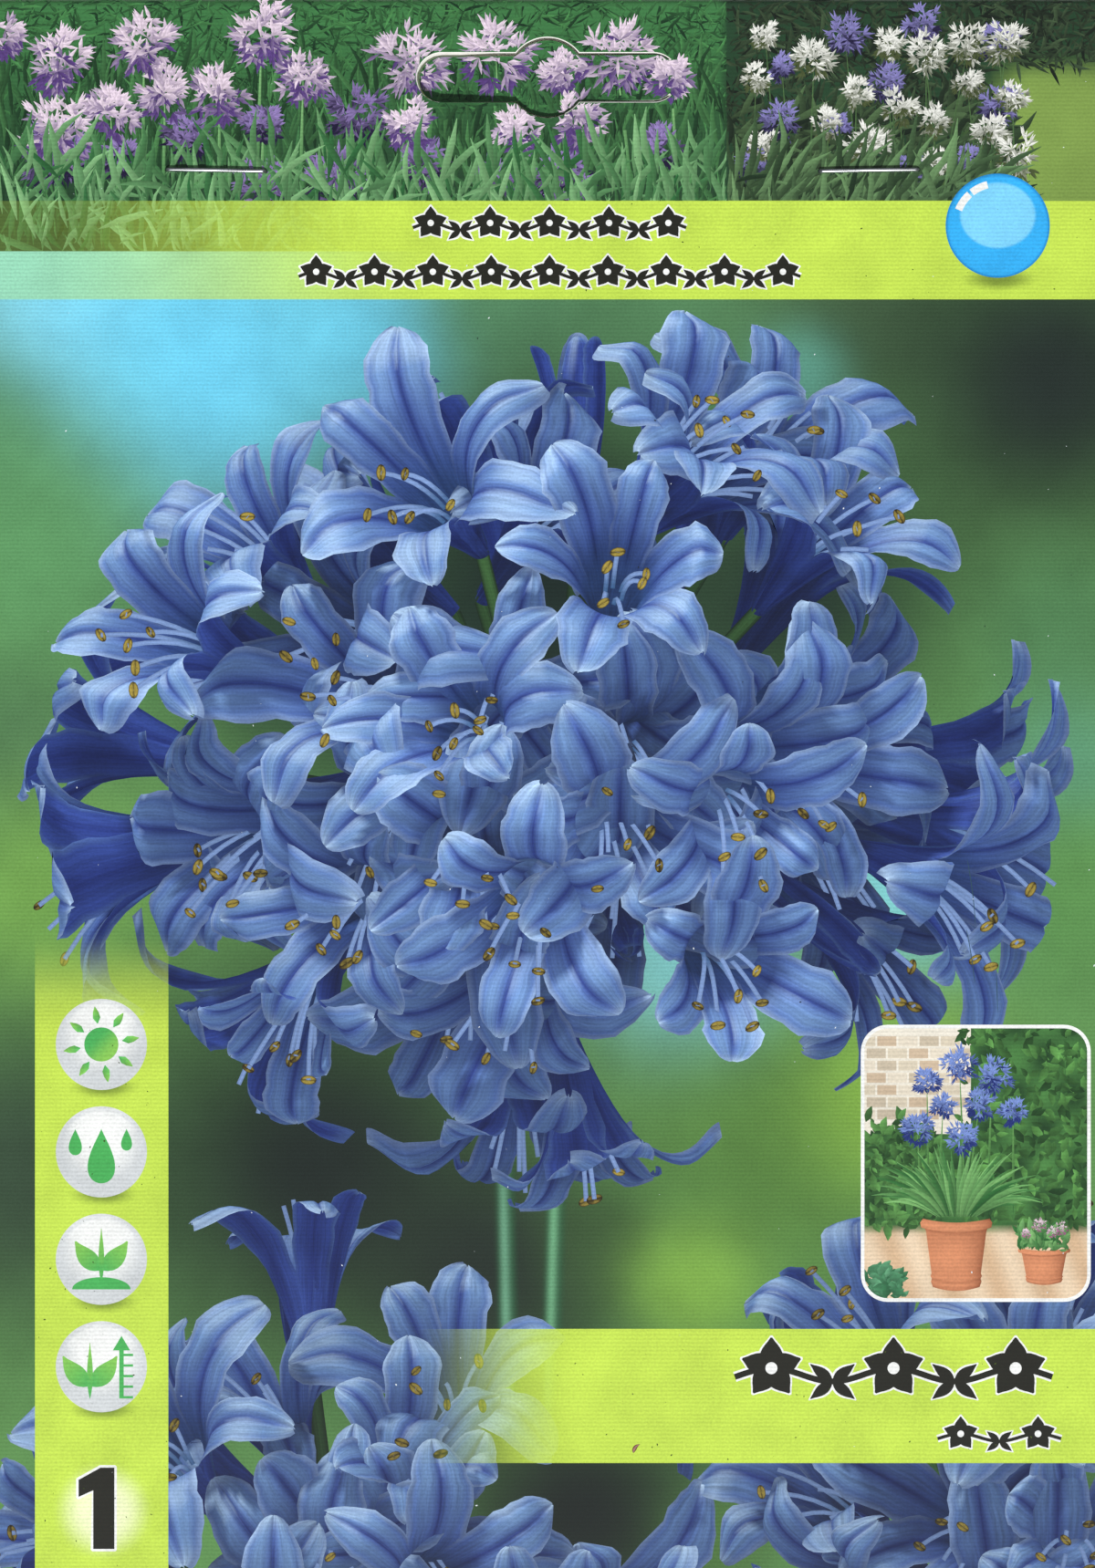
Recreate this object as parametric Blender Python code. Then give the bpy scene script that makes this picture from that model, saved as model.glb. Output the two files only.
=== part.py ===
"""A sales pack for one bare plant root, lying on its back with its picture card up.

The card is folded over the neck of a clear bag and stapled through. The bag holds damp peat, and the
peat holds the rootstock. +X is the card's right, +Y runs up the card to the hanging slot, and +Z comes
out of the picture. The origin is on the surface that the bag lies on, under the middle of the pack.
"""

import math

import bmesh
import bpy
import numpy as np
from mathutils import Matrix, Vector

MM = 0.001

# Clearance that two neighbouring solids keep.
TOUCH = 0.3 * MM

# Picture card: coated board, folded over at the top.
CARD_WIDTH = 135.0 * MM
CARD_HEIGHT = 193.4 * MM
BOARD = 0.45 * MM
PANEL_GAP = 1.4 * MM
STAPLED_DEPTH = 27.0 * MM
FLAP_BEND_RADIUS = 12.0 * MM
FLAP_BEND = math.radians(35.0)
FLAP_TAIL = 24.0 * MM

# Hanging slot with its punched tongue, joined at the right end and pushed back.
SLOT_BELOW_TOP = 9.8 * MM
SLOT_WIDTH = 32.3 * MM
SLOT_HEIGHT = 6.2 * MM
SLOT_EYE_RADIUS = 5.0 * MM
KERF = 0.3 * MM
TONGUE_TILT = math.radians(3.5)
TONGUE_ROOT_HALF = 2.2 * MM
TONGUE_ROOT_LENGTH = 3.6 * MM
TONGUE_ROOT_INSET = 0.025 * MM

# Staples.
STAPLE_CROWN = 12.7 * MM
STAPLE_WIRE_RADIUS = 0.25 * MM
STAPLE_BELOW_TOP = 21.3 * MM
STAPLE_CORNER = 0.6 * MM
STAPLE_CLINCH = 4.4 * MM
STAPLES = (("staple_left", -40.7 * MM, -1.0), ("staple_right", 39.5 * MM, 0.85))

# Bag: a lay-flat tube of clear film, thicker here than the real film so that it is a sound solid.
TUBE_FLAT_WIDTH = 105.0 * MM
BAG_THICK = 22.0 * MM
FILM = 0.25 * MM
NECK_THICK = 0.8 * MM
MOUTH_BELOW_TOP = 15.6 * MM
FLOOR_FILLET = 14.0 * MM
SEAL_END_Y = -93.5 * MM
SEAL_LENGTH = 6.0 * MM
SEAL_Z = 8.0 * MM
END_TAPER = 25.0 * MM
BAG_SIDES = 28

# Peat.
PEAT_CLEARANCE = 0.35 * MM
PEAT_LUMP = 1.3 * MM
PEAT_TOP_Y = 44.0 * MM
PEAT_BOTTOM_Y = -82.0 * MM
PEAT_END = 1.5 * MM
PEAT_ROWS = 30
PEAT_SIDES = 24

# Rootstock.
CROWN_Y = 25.0 * MM
CROWN_LENGTH = 26.0 * MM
CROWN_WIDTH = 21.0 * MM
CROWN_THICK = 12.5 * MM
CROWN_SIDES = 12
ROOT_COUNT = 7
ROOT_RADIUS = 2.1 * MM
ROOT_LENGTH = 84.0 * MM
ROOT_SPREAD = math.radians(25.0)
ROOT_WIND = 2.6 * MM
ROOT_LIFT = 3.4 * MM
ROOT_SIDES = 8
ROOT_ROWS = 14
BUDS = ((-4.4 * MM, 3.6 * MM, math.radians(8.0)), (4.8 * MM, 3.0 * MM, math.radians(-12.0)))
BUD_LENGTH = 15.0 * MM

# Heights and places that follow from the sizes above.
TOP_Y = CARD_HEIGHT / 2
BACK_OF_PANEL_Z = BAG_THICK + TOUCH
FACE_Z = BACK_OF_PANEL_Z + BOARD
FOLD_RADIUS = PANEL_GAP / 2 + BOARD / 2
FOLD_Y = TOP_Y - PANEL_GAP / 2 - BOARD
PANEL_MID_Z = FACE_Z - BOARD / 2
FLAP_MID_Z = PANEL_MID_Z - 2 * FOLD_RADIUS
BEND_Y = TOP_Y - STAPLED_DEPTH
BEND_Z = FLAP_MID_Z - FLAP_BEND_RADIUS
SHOULDER_RADIUS = FLAP_BEND_RADIUS + BOARD / 2 + TOUCH
SLOPE_START_Y = BEND_Y - SHOULDER_RADIUS * math.sin(FLAP_BEND)
SLOPE_START_Z = BEND_Z + SHOULDER_RADIUS * math.cos(FLAP_BEND)
FILLET_TANGENT = FLOOR_FILLET * math.tan(FLAP_BEND / 2)
BELLY_Y = SLOPE_START_Y - SLOPE_START_Z / math.tan(FLAP_BEND) - FILLET_TANGENT
FILLET_Y = BELLY_Y + FILLET_TANGENT * (1.0 + math.cos(FLAP_BEND))
SEAL_Y = SEAL_END_Y + SEAL_LENGTH
SLOT_Y = TOP_Y - SLOT_BELOW_TOP
STAPLE_Y = TOP_Y - STAPLE_BELOW_TOP
MOUTH_Y = TOP_Y - MOUTH_BELOW_TOP
ROOT_Z = BAG_THICK / 2


def clear_scene():
    for found in list(bpy.data.objects):
        bpy.data.objects.remove(found, do_unlink=True)


def material(name, colour, roughness, metallic=0.0, alpha=1.0):
    """A Principled material of one colour, roughness and metallic value."""
    made = bpy.data.materials.new(name)
    made.use_nodes = True
    shader = made.node_tree.nodes["Principled BSDF"]
    shader.inputs["Base Color"].default_value = (*colour, 1.0)
    shader.inputs["Roughness"].default_value = roughness
    shader.inputs["Metallic"].default_value = metallic
    shader.inputs["Alpha"].default_value = alpha
    return made


def add_mesh(name, points, faces, finish=None):
    """An object from points and faces, with its normals out."""
    mesh = bpy.data.meshes.new(name)
    mesh.from_pydata([tuple(p) for p in points], [], [tuple(f) for f in faces])
    work = bmesh.new()
    work.from_mesh(mesh)
    bmesh.ops.recalc_face_normals(work, faces=work.faces)
    work.to_mesh(mesh)
    work.free()
    made = bpy.data.objects.new(name, mesh)
    bpy.context.scene.collection.objects.link(made)
    if finish:
        mesh.materials.append(finish)
    return made


def smooth(made, angle=40.0):
    made.data.shade_smooth()
    made.data.set_sharp_from_angle(angle=math.radians(angle))


def grid_faces(rows, sides):
    """Quads between closed rings of points, row after row."""
    here = np.arange(rows - 1)[:, None] * sides + np.arange(sides)[None, :]
    after = np.arange(rows - 1)[:, None] * sides + (np.arange(sides)[None, :] + 1) % sides
    quads = np.stack([here, after, after + sides, here + sides], axis=-1)
    return quads.reshape(-1, 4).tolist()


def end_fans(rows, sides):
    """Triangles that close both ends of a tube, whose two tips follow its rings in the list of points."""
    first_tip = rows * sides
    last_ring = first_tip - sides
    fans = []
    for k in range(sides):
        after = (k + 1) % sides
        fans.append([after, k, first_tip])
        fans.append([last_ring + k, last_ring + after, first_tip + 1])
    return fans


def prism(name, outline, low, high):
    """A flat outline in X and Y, made solid from z low to z high."""
    count = len(outline)
    points = [(x, y, z) for z in (low, high) for x, y in outline]
    faces = [list(range(count))[::-1], list(range(count, 2 * count))]
    faces += grid_faces(2, count)
    return add_mesh(name, points, faces)


def arc(centre, radius, start, end, steps):
    """Points on an arc about centre, angles in degrees, both ends included."""
    angles = np.radians(np.linspace(start, end, steps + 1))
    return [(centre[0] + radius * math.cos(a), centre[1] + radius * math.sin(a)) for a in angles]


def hide_as_cutter(made):
    made.hide_render = True
    made.display_type = "WIRE"


def boolean(target, operation, other=None, collection=None):
    """Adds a Boolean modifier that uses one object or all objects of a collection."""
    step = target.modifiers.new(operation.lower(), "BOOLEAN")
    step.operation = operation
    if collection:
        step.operand_type = "COLLECTION"
        step.collection = collection
    else:
        step.object = other


def apply_and_remove(target, helpers):
    """Makes the evaluated mesh the object's own and removes the helpers that shaped it."""
    graph = bpy.context.evaluated_depsgraph_get()
    graph.update()
    shaped = bpy.data.meshes.new_from_object(target.evaluated_get(graph))
    target.modifiers.clear()
    target.data = shaped
    for helper in helpers:
        bpy.data.objects.remove(helper, do_unlink=True)


def board_path():
    """Middle line of the folded board in Y and Z, from the card's bottom edge to the flap's end."""
    path = [(-TOP_Y, PANEL_MID_Z)]
    path += arc((FOLD_Y, PANEL_MID_Z - FOLD_RADIUS), FOLD_RADIUS, 90.0, -90.0, 10)
    bend = math.degrees(FLAP_BEND)
    path += arc((BEND_Y, BEND_Z), FLAP_BEND_RADIUS, 90.0, 90.0 + bend, 7)
    last_y, last_z = path[-1]
    path.append(
        (last_y - FLAP_TAIL * math.cos(FLAP_BEND), last_z - FLAP_TAIL * math.sin(FLAP_BEND))
    )
    return np.array(path)


def folded_board(finish):
    """The board's middle line given its thickness, and carried across the card's width."""
    path = board_path()
    steps = np.diff(path, axis=0)
    steps /= np.linalg.norm(steps, axis=1, keepdims=True)
    ahead = np.concatenate([steps[:1], steps[:-1] + steps[1:], steps[-1:]])
    ahead /= np.linalg.norm(ahead, axis=1, keepdims=True)
    side = np.stack([-ahead[:, 1], ahead[:, 0]], axis=1)
    rings = []
    for x in (-CARD_WIDTH / 2, CARD_WIDTH / 2):
        for sign in (1, -1):
            edge = path + sign * side * BOARD / 2
            rings.append(np.column_stack([np.full(len(edge), x), edge]))
    left_out, left_in, right_out, right_in = rings
    points = np.stack([left_out, right_out, right_in, left_in], axis=1).reshape(-1, 3)
    count = len(path)
    faces = grid_faces(count, 4)
    faces += [[0, 1, 2, 3], [4 * count - 4 + k for k in (3, 2, 1, 0)]]
    return add_mesh("picture_card", points, faces, finish)


def slot_outline(inset):
    """The hanging slot: a long slot with round ends, and a round eye in its middle."""
    half = SLOT_HEIGHT / 2 - inset
    end = SLOT_WIDTH / 2 - SLOT_HEIGHT / 2
    eye = SLOT_EYE_RADIUS - inset
    corner = math.degrees(math.asin(half / eye))
    outline = arc((end, 0.0), half, -90.0, 90.0, 10)
    outline += arc((0.0, 0.0), eye, corner, 180.0 - corner, 8)
    outline += arc((-end, 0.0), half, 90.0, 270.0, 10)
    outline += arc((0.0, 0.0), eye, 180.0 + corner, 360.0 - corner, 8)
    return [(x, y + SLOT_Y) for x, y in outline]


def tongue(name, mid_z):
    """The punched tongue of one panel, turned back about its root at the slot's right end."""
    made = prism(name, slot_outline(KERF), -BOARD / 2, BOARD / 2)
    hinge = Vector((SLOT_WIDTH / 2 - TONGUE_ROOT_LENGTH / 2, SLOT_Y, 0.0))
    turn = Matrix.Translation(hinge) @ Matrix.Rotation(-TONGUE_TILT, 4, "Y")
    made.data.transform(Matrix.Translation((0, 0, mid_z)) @ turn @ Matrix.Translation(-hinge))
    return made


def tongue_root(name, mid_z):
    """The short uncut bridge between a tongue and its panel."""
    right = SLOT_WIDTH / 2 + TONGUE_ROOT_LENGTH / 3
    left = right - TONGUE_ROOT_LENGTH
    outline = [
        (left, SLOT_Y - TONGUE_ROOT_HALF),
        (right, SLOT_Y - TONGUE_ROOT_HALF),
        (right, SLOT_Y + TONGUE_ROOT_HALF),
        (left, SLOT_Y + TONGUE_ROOT_HALF),
    ]
    half = BOARD / 2 - TONGUE_ROOT_INSET
    return prism(name, outline, mid_z - half, mid_z + half)


def leg_places():
    """Where the four staple legs pass through the pack, in X and Y."""
    reach = STAPLE_CROWN / 2 - STAPLE_WIRE_RADIUS
    for _, x, turn in STAPLES:
        for sign in (-1, 1):
            angle = math.radians(turn)
            yield x + sign * reach * math.cos(angle), STAPLE_Y + sign * reach * math.sin(angle)


def leg_hole_cutters():
    """Round pins, wider than the wire, that open the leg holes in the card and the film."""
    pins = []
    radius = STAPLE_WIRE_RADIUS + TOUCH
    for i, (x, y) in enumerate(leg_places()):
        outline = arc((x, y), radius, 0.0, 330.0, 11)
        pin = prism(f"leg_hole_{i}", outline, FLAP_MID_Z - BOARD * 2, FACE_Z + BOARD * 2)
        hide_as_cutter(pin)
        pins.append(pin)
    return pins


def picture_card():
    finish = material("coated_board", (0.42, 0.68, 0.16), 0.38)
    card = folded_board(finish)
    cutter = prism(
        "slot_cutter", slot_outline(0.0), FLAP_MID_Z - 3 * BOARD, PANEL_MID_Z + 3 * BOARD
    )
    helpers = [cutter] + leg_hole_cutters()
    for helper in helpers:
        hide_as_cutter(helper)
        boolean(card, "DIFFERENCE", helper)
    for name, mid_z in (("front", PANEL_MID_Z), ("back", FLAP_MID_Z)):
        piece = tongue(f"tongue_{name}", mid_z)
        root = tongue_root(f"tongue_root_{name}", mid_z)
        for helper in (piece, root):
            hide_as_cutter(helper)
            boolean(card, "UNION", helper)
            helpers.append(helper)
    apply_and_remove(card, helpers)
    return card


def staple_path():
    """Middle line of one staple in X and Z: clinch, leg, crown, leg, clinch."""
    reach = STAPLE_CROWN / 2 - STAPLE_WIRE_RADIUS
    crown_z = FACE_Z + TOUCH + STAPLE_WIRE_RADIUS
    back_z = FLAP_MID_Z - BOARD / 2 - TOUCH - STAPLE_WIRE_RADIUS
    inner = reach - STAPLE_CORNER
    right = [(reach - STAPLE_CLINCH, back_z - 0.25 * MM)]
    right += arc((inner, back_z + STAPLE_CORNER), STAPLE_CORNER, 270.0, 360.0, 4)
    right += arc((inner, crown_z - STAPLE_CORNER), STAPLE_CORNER, 0.0, 90.0, 4)
    left = [(-x, z) for x, z in reversed(right)]
    return right + [(0.0, crown_z)] + left


def staple(name, x, turn, finish):
    """One staple: round wire along its path, as a curve with filled caps."""
    curve = bpy.data.curves.new(name, "CURVE")
    curve.dimensions = "3D"
    curve.bevel_depth = STAPLE_WIRE_RADIUS
    curve.bevel_resolution = 2
    curve.use_fill_caps = True
    spline = curve.splines.new("POLY")
    path = staple_path()
    spline.points.add(len(path) - 1)
    for point, (px, pz) in zip(spline.points, path):
        point.co = (px, 0.0, pz, 1.0)
    made = bpy.data.objects.new(name, curve)
    bpy.context.scene.collection.objects.link(made)
    made.location = (x, STAPLE_Y, 0.0)
    made.rotation_euler = (0.0, 0.0, math.radians(turn))
    curve.materials.append(finish)
    return made


def shoulder(y):
    """Height of the bag's underside on its middle line, from the neck down to the flat belly.

    It follows the flap's bend one clearance above it, then the flap's slope, and ends in a fillet that
    meets the surface that the pack lies on.
    """
    on_bend = BEND_Z + np.sqrt(np.maximum(SHOULDER_RADIUS**2 - (BEND_Y - y) ** 2, 0.0))
    on_slope = SLOPE_START_Z - (SLOPE_START_Y - y) * math.tan(FLAP_BEND)
    on_fillet = FLOOR_FILLET - np.sqrt(np.maximum(FLOOR_FILLET**2 - (y - BELLY_Y) ** 2, 0.0))
    return np.select(
        [y >= BEND_Y, y >= SLOPE_START_Y, y >= FILLET_Y, y >= BELLY_Y],
        [BEND_Z + SHOULDER_RADIUS, on_bend, on_slope, on_fillet],
        0.0,
    )


def belly(y):
    """(lowest, highest) of the bag on its middle line at each y, with its tapered bottom end."""
    low = shoulder(y)
    high = np.full_like(y, BAG_THICK)
    share = np.clip((SEAL_Y + END_TAPER - y) / END_TAPER, 0.0, 1.0) ** 2
    low = low + (SEAL_Z - NECK_THICK / 2 - low) * share
    high = high + (SEAL_Z + NECK_THICK / 2 - high) * share
    return low, high


def rings(y, inset, sides):
    """Rings of points round the bag, pulled in by inset.

    A lay-flat tube keeps its way round, so where the bag is thick it is narrower: each section has flat
    faces and half-round sides, and its width follows from its height and the tube's flat width.
    """
    low, high = belly(y)
    height = high - low
    width = TUBE_FLAT_WIDTH + height * (1.0 - math.pi / 2)
    radius = height / 2 - inset
    flat = (width - height) / 2
    turn = np.linspace(-math.pi / 2, math.pi / 2, sides // 2)
    right = np.stack([np.cos(turn), np.sin(turn)])
    round_x, round_z = np.concatenate([right, -right], axis=1)
    sign = np.repeat([1.0, -1.0], sides // 2)
    x = sign * flat[:, None] + round_x * radius[:, None]
    z = (low + height / 2)[:, None] + round_z * radius[:, None]
    return np.stack([x, np.repeat(y[:, None], len(sign), axis=1), z], axis=-1)


def bag_rows():
    """Places along Y from the neck to the seal, crowded where the bag bends."""
    bend = np.linspace(BEND_Y, SLOPE_START_Y, 6)
    slope = np.linspace(SLOPE_START_Y, FILLET_Y, 5)[1:]
    fillet = np.linspace(FILLET_Y, BELLY_Y, 5)[1:]
    flat = np.linspace(BELLY_Y, SEAL_Y + END_TAPER, 4)[1:]
    taper = np.linspace(SEAL_Y + END_TAPER, SEAL_Y, 9)[1:]
    return np.concatenate([[MOUTH_Y], bend, slope, fillet, flat, taper])


def bag_film():
    """A pouch with one wall: its outer and inner skins meet at the open neck."""
    finish = material("clear_film", (0.86, 0.9, 0.9), 0.12, alpha=0.35)
    inner_y = bag_rows()
    outer_y = np.append(inner_y, SEAL_END_Y)
    outer = rings(outer_y, 0.0, BAG_SIDES)
    inner = rings(inner_y, FILM, BAG_SIDES)
    points = np.concatenate([outer[::-1].reshape(-1, 3), inner.reshape(-1, 3)])
    count = len(outer_y) + len(inner_y)
    faces = grid_faces(count, BAG_SIDES)
    last_ring = (count - 1) * BAG_SIDES
    faces.append(list(range(BAG_SIDES)))
    faces.append([last_ring + k for k in range(BAG_SIDES)][::-1])
    film = add_mesh("bag_film", points, faces, finish)
    smooth(film)
    pins = leg_hole_cutters()
    for pin in pins:
        boolean(film, "DIFFERENCE", pin)
    apply_and_remove(film, pins)
    return film


def lumps(points):
    """How far the peat draws in at each point, from 0 to 1: slow waves that cross along X, Y and Z."""
    x, y, z = (points[..., k] / MM for k in range(3))
    waves = np.sin(x * 0.21 + y * 0.13) * np.sin(y * 0.27 - z * 0.31 + 1.3)
    waves = waves + 0.6 * np.sin(x * 0.43 - y * 0.37 + 0.7) * np.sin(z * 0.52 + x * 0.11)
    return np.clip(0.5 + 0.32 * waves, 0.0, 1.0)


def peat_fill(root_space):
    """The peat inside the bag, a little lumpy, hollowed where the rootstock lies."""
    finish = material("damp_peat", (0.062, 0.036, 0.021), 0.95)
    y = np.linspace(PEAT_TOP_Y, PEAT_BOTTOM_Y, PEAT_ROWS)
    skin = rings(y, FILM + PEAT_CLEARANCE, PEAT_SIDES)
    low, high = belly(y)
    middle = np.stack([np.zeros_like(y), y, (low + high) / 2], axis=-1)
    from_middle = skin - middle[:, None, :]
    reach = np.linalg.norm(from_middle, axis=-1)
    skin = middle[:, None, :] + from_middle * (1.0 - PEAT_LUMP * lumps(skin) / reach)[..., None]
    tips = middle[[0, -1]] + np.array([[0.0, PEAT_END, 0.0], [0.0, -PEAT_END, 0.0]])
    points = np.concatenate([skin.reshape(-1, 3), tips])
    faces = grid_faces(PEAT_ROWS, PEAT_SIDES) + end_fans(PEAT_ROWS, PEAT_SIDES)
    peat = add_mesh("peat_fill", points, faces, finish)
    boolean(peat, "DIFFERENCE", root_space)
    apply_and_remove(peat, [root_space])
    smooth(peat, 60.0)
    return peat


def tube(name, path, radii, sides, flatten=1.0):
    """A closed tube along a path, with a radius for each point and a pointed cap at each end.

    Its width across X is its radius, and its height along Z is the radius times flatten.
    """
    ahead = np.gradient(path, axis=0)
    ahead /= np.linalg.norm(ahead, axis=1, keepdims=True)
    across = np.cross(ahead, (0.0, 0.0, 1.0))
    across /= np.linalg.norm(across, axis=1, keepdims=True)
    up = np.cross(across, ahead) * flatten
    angles = np.linspace(0.0, 2 * math.pi, sides, endpoint=False)
    round_off = np.cos(angles)[:, None] * across[:, None, :] + np.sin(angles)[:, None] * up[:, None, :]
    skin = path[:, None, :] + radii[:, None, None] * round_off
    tips = path[[0, -1]] + ahead[[0, -1]] * (radii[[0, -1]] * (-1.0, 1.0))[:, None]
    points = np.concatenate([skin.reshape(-1, 3), tips])
    return add_mesh(name, points, grid_faces(len(path), sides) + end_fans(len(path), sides))


def crown_tube(swell):
    """The short thick crown, an oval body with its long side across the pack."""
    along = np.linspace(-0.8, 0.8, 9)
    path = np.zeros((9, 3)) + (0.0, CROWN_Y, ROOT_Z)
    path[:, 1] += along * CROWN_LENGTH / 2
    radii = CROWN_WIDTH / 2 * np.sqrt(1.0 - 0.9 * along**2) + swell
    flatten = (CROWN_THICK / 2 + swell) / (CROWN_WIDTH / 2 + swell)
    return tube("crown", path, radii, CROWN_SIDES, flatten)


def bud_tube(index, swell):
    """A dormant bud, a blunt cone that leaves the crown towards the neck of the bag."""
    x, radius, lean = BUDS[index]
    share = np.linspace(0.0, 1.0, 6)
    path = np.zeros((6, 3)) + (x, CROWN_Y + CROWN_LENGTH * 0.3, ROOT_Z)
    path += share[:, None] * BUD_LENGTH * np.array([-math.sin(lean), math.cos(lean), 0.1])
    radii = radius * (1.0 - 0.78 * share**1.8) + swell
    return tube(f"bud_{index}", path, radii, ROOT_SIDES)


def root_tube(index, swell):
    """A fleshy root that leaves the crown's lower end, fans out and winds a little in X and Z."""
    part = index / (ROOT_COUNT - 1) * 2.0 - 1.0
    lean = part * ROOT_SPREAD
    length = ROOT_LENGTH * (1.0 - 0.2 * abs(math.sin(index * 2.1)))
    share = np.linspace(0.0, 1.0, ROOT_ROWS)
    wind = ROOT_WIND * share * np.sin(share * 5.0 + index * 1.9)
    x = part * CROWN_WIDTH * 0.36 + math.sin(lean) * share * length * 0.9 + wind
    y = CROWN_Y - CROWN_LENGTH * 0.28 - math.cos(lean) * share * length
    z = ROOT_Z + ROOT_LIFT * math.sin(index * 2.4) * np.sin(share * 3.0)
    radii = ROOT_RADIUS * (1.0 - 0.62 * share**1.6) + swell
    return tube(f"root_{index}", np.stack([x, y, z], axis=1), radii, ROOT_SIDES)


def joined_rootstock(name, swell):
    """Crown, buds and roots, each wider by swell, made one body by a union on a collection."""
    body = crown_tube(swell)
    body.name = name
    pieces = [bud_tube(i, swell) for i in range(len(BUDS))]
    pieces += [root_tube(i, swell) for i in range(ROOT_COUNT)]
    group = bpy.data.collections.new(name + "_pieces")
    bpy.context.scene.collection.children.link(group)
    for piece in pieces:
        group.objects.link(piece)
        bpy.context.scene.collection.objects.unlink(piece)
        hide_as_cutter(piece)
    boolean(body, "UNION", collection=group)
    apply_and_remove(body, pieces)
    bpy.data.collections.remove(group)
    return body


def rootstock():
    stock = joined_rootstock("rootstock", 0.0)
    stock.data.materials.clear()
    stock.data.materials.append(material("root_skin", (0.42, 0.27, 0.13), 0.7))
    smooth(stock, 60.0)
    return stock


def main():
    clear_scene()
    picture_card()
    steel = material("staple_steel", (0.62, 0.63, 0.65), 0.3, metallic=1.0)
    for name, x, turn in STAPLES:
        staple(name, x, turn, steel)
    bag_film()
    root_space = joined_rootstock("root_space", PEAT_CLEARANCE)
    hide_as_cutter(root_space)
    peat_fill(root_space)
    rootstock()


main()
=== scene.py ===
import math

import bpy
import numpy as np
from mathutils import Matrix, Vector, geometry


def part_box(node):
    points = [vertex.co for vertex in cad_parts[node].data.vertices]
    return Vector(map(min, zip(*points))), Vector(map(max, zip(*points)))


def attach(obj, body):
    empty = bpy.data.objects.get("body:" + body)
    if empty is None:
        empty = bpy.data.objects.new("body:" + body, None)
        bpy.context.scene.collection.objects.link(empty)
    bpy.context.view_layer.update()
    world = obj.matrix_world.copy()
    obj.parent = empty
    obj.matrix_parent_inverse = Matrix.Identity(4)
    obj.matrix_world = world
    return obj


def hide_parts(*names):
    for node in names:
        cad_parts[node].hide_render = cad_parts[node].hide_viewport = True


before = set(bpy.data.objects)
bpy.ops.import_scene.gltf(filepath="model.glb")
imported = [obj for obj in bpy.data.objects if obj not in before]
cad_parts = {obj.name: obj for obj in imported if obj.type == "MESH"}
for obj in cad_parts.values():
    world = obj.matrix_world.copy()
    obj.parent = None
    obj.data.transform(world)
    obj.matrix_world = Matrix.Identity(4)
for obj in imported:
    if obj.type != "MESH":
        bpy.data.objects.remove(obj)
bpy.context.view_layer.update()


# The board of the card: bleached board 0.45 mm thick, folded over at the top and die-cut. The solid from the
# frame stays, so its cut edges, its slot and its tongue show the bare white core beside the print.

MM = 0.001


def linear(hex_colour):
    """The linear red, green and blue of an sRGB hex value."""
    parts = np.array([int(hex_colour[i : i + 2], 16) for i in (1, 3, 5)]) / 255
    return np.where(parts <= 0.04045, parts / 12.92, ((parts + 0.055) / 1.055) ** 2.4)


def join(tree, source, node, place):
    """Joins an output, or a node's first output, to an input of another node."""
    output = source.outputs[0] if isinstance(source, bpy.types.Node) else source
    tree.links.new(output, node.inputs[place])


def add(tree, kind, settings=None, links=()):
    """Adds a node. settings go on its inputs or on itself by name; links join (output, input) pairs.

    The setting "stops" holds a colour ramp's (position, hex colour) pairs.
    """
    made = tree.nodes.new("ShaderNode" + kind)
    for key, value in (settings or {}).items():
        if key == "stops":
            set_stops(made.color_ramp.elements, value)
        elif isinstance(key, int) or key in made.inputs.keys():
            made.inputs[key].default_value = value
        else:
            setattr(made, key, value)
    for source, place in links:
        join(tree, source, made, place)
    return made


def finish_of(name, settings):
    """A new material with one Principled shader whose plain inputs are settings."""
    made = bpy.data.materials.new(name)
    made.use_nodes = True
    shader = made.node_tree.nodes["Principled BSDF"]
    for key, value in settings.items():
        shader.inputs[key].default_value = value
    return made, made.node_tree, shader


def set_stops(marks, stops):
    """Sets the marks of a colour ramp from (position, hex colour) stops."""
    while len(marks) < len(stops):
        marks.new(1.0)
    for mark, (position, tone) in zip(marks, stops):
        mark.position = position
        mark.color = (*linear(tone), 1)


def bleached_board():
    """Bleached sulphate board, calendered: matt and white, faintly mottled by fibres about 1 mm across."""
    made, tree, shader = finish_of("bleached_board", {"Roughness": 0.72})
    place = add(tree, "TexCoord").outputs["Object"]
    fibre = add(tree, "TexNoise", {"Scale": 0.9 / MM, "Detail": 4.0}, [(place, "Vector")]).outputs["Fac"]
    white = add(tree, "ValToRGB", {"stops": [(0.3, "#E4E1D9"), (0.7, "#F7F5F0")]}, [(fibre, "Fac")])
    join(tree, white, shader, "Base Color")
    bump = add(tree, "Bump", {"Strength": 0.15, "Distance": 0.04 * MM}, [(fibre, "Height")])
    join(tree, bump, shader, "Normal")
    return made


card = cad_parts["picture_card"]
card.data.materials.clear()
card.data.materials.append(bleached_board())
low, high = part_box("picture_card")
LEFT, RIGHT = low[0] / MM, high[0] / MM
BOTTOM, TOP = low[1] / MM, high[1] / MM
FACE_Z = 22.75
BOARD = 0.45


# The printed front: process inks on the coated face under a water-based varnish. Every printed shape is a
# thin skin of ink with its colour in the attribute "ink". The backdrop is an out-of-focus garden, and the
# plain lime stripes are overprinted by the finish itself.

FOLD_RADIUS = 1.15
FOLD_Y = TOP - FOLD_RADIUS
STAPLED_DEPTH = 27.0
BEND_Y = TOP - STAPLED_DEPTH
BEND = math.radians(35.0)
BEND_RADIUS = 12.0 - BOARD / 2
TAIL = 24.0
BACK_START = FOLD_Y + math.pi * FOLD_RADIUS
BACK_END = BACK_START + FOLD_Y - BEND_Y + BEND_RADIUS * BEND + TAIL
LIFT = 0.02
CELL = 1.2
SPLIT_X = 22.0

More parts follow.
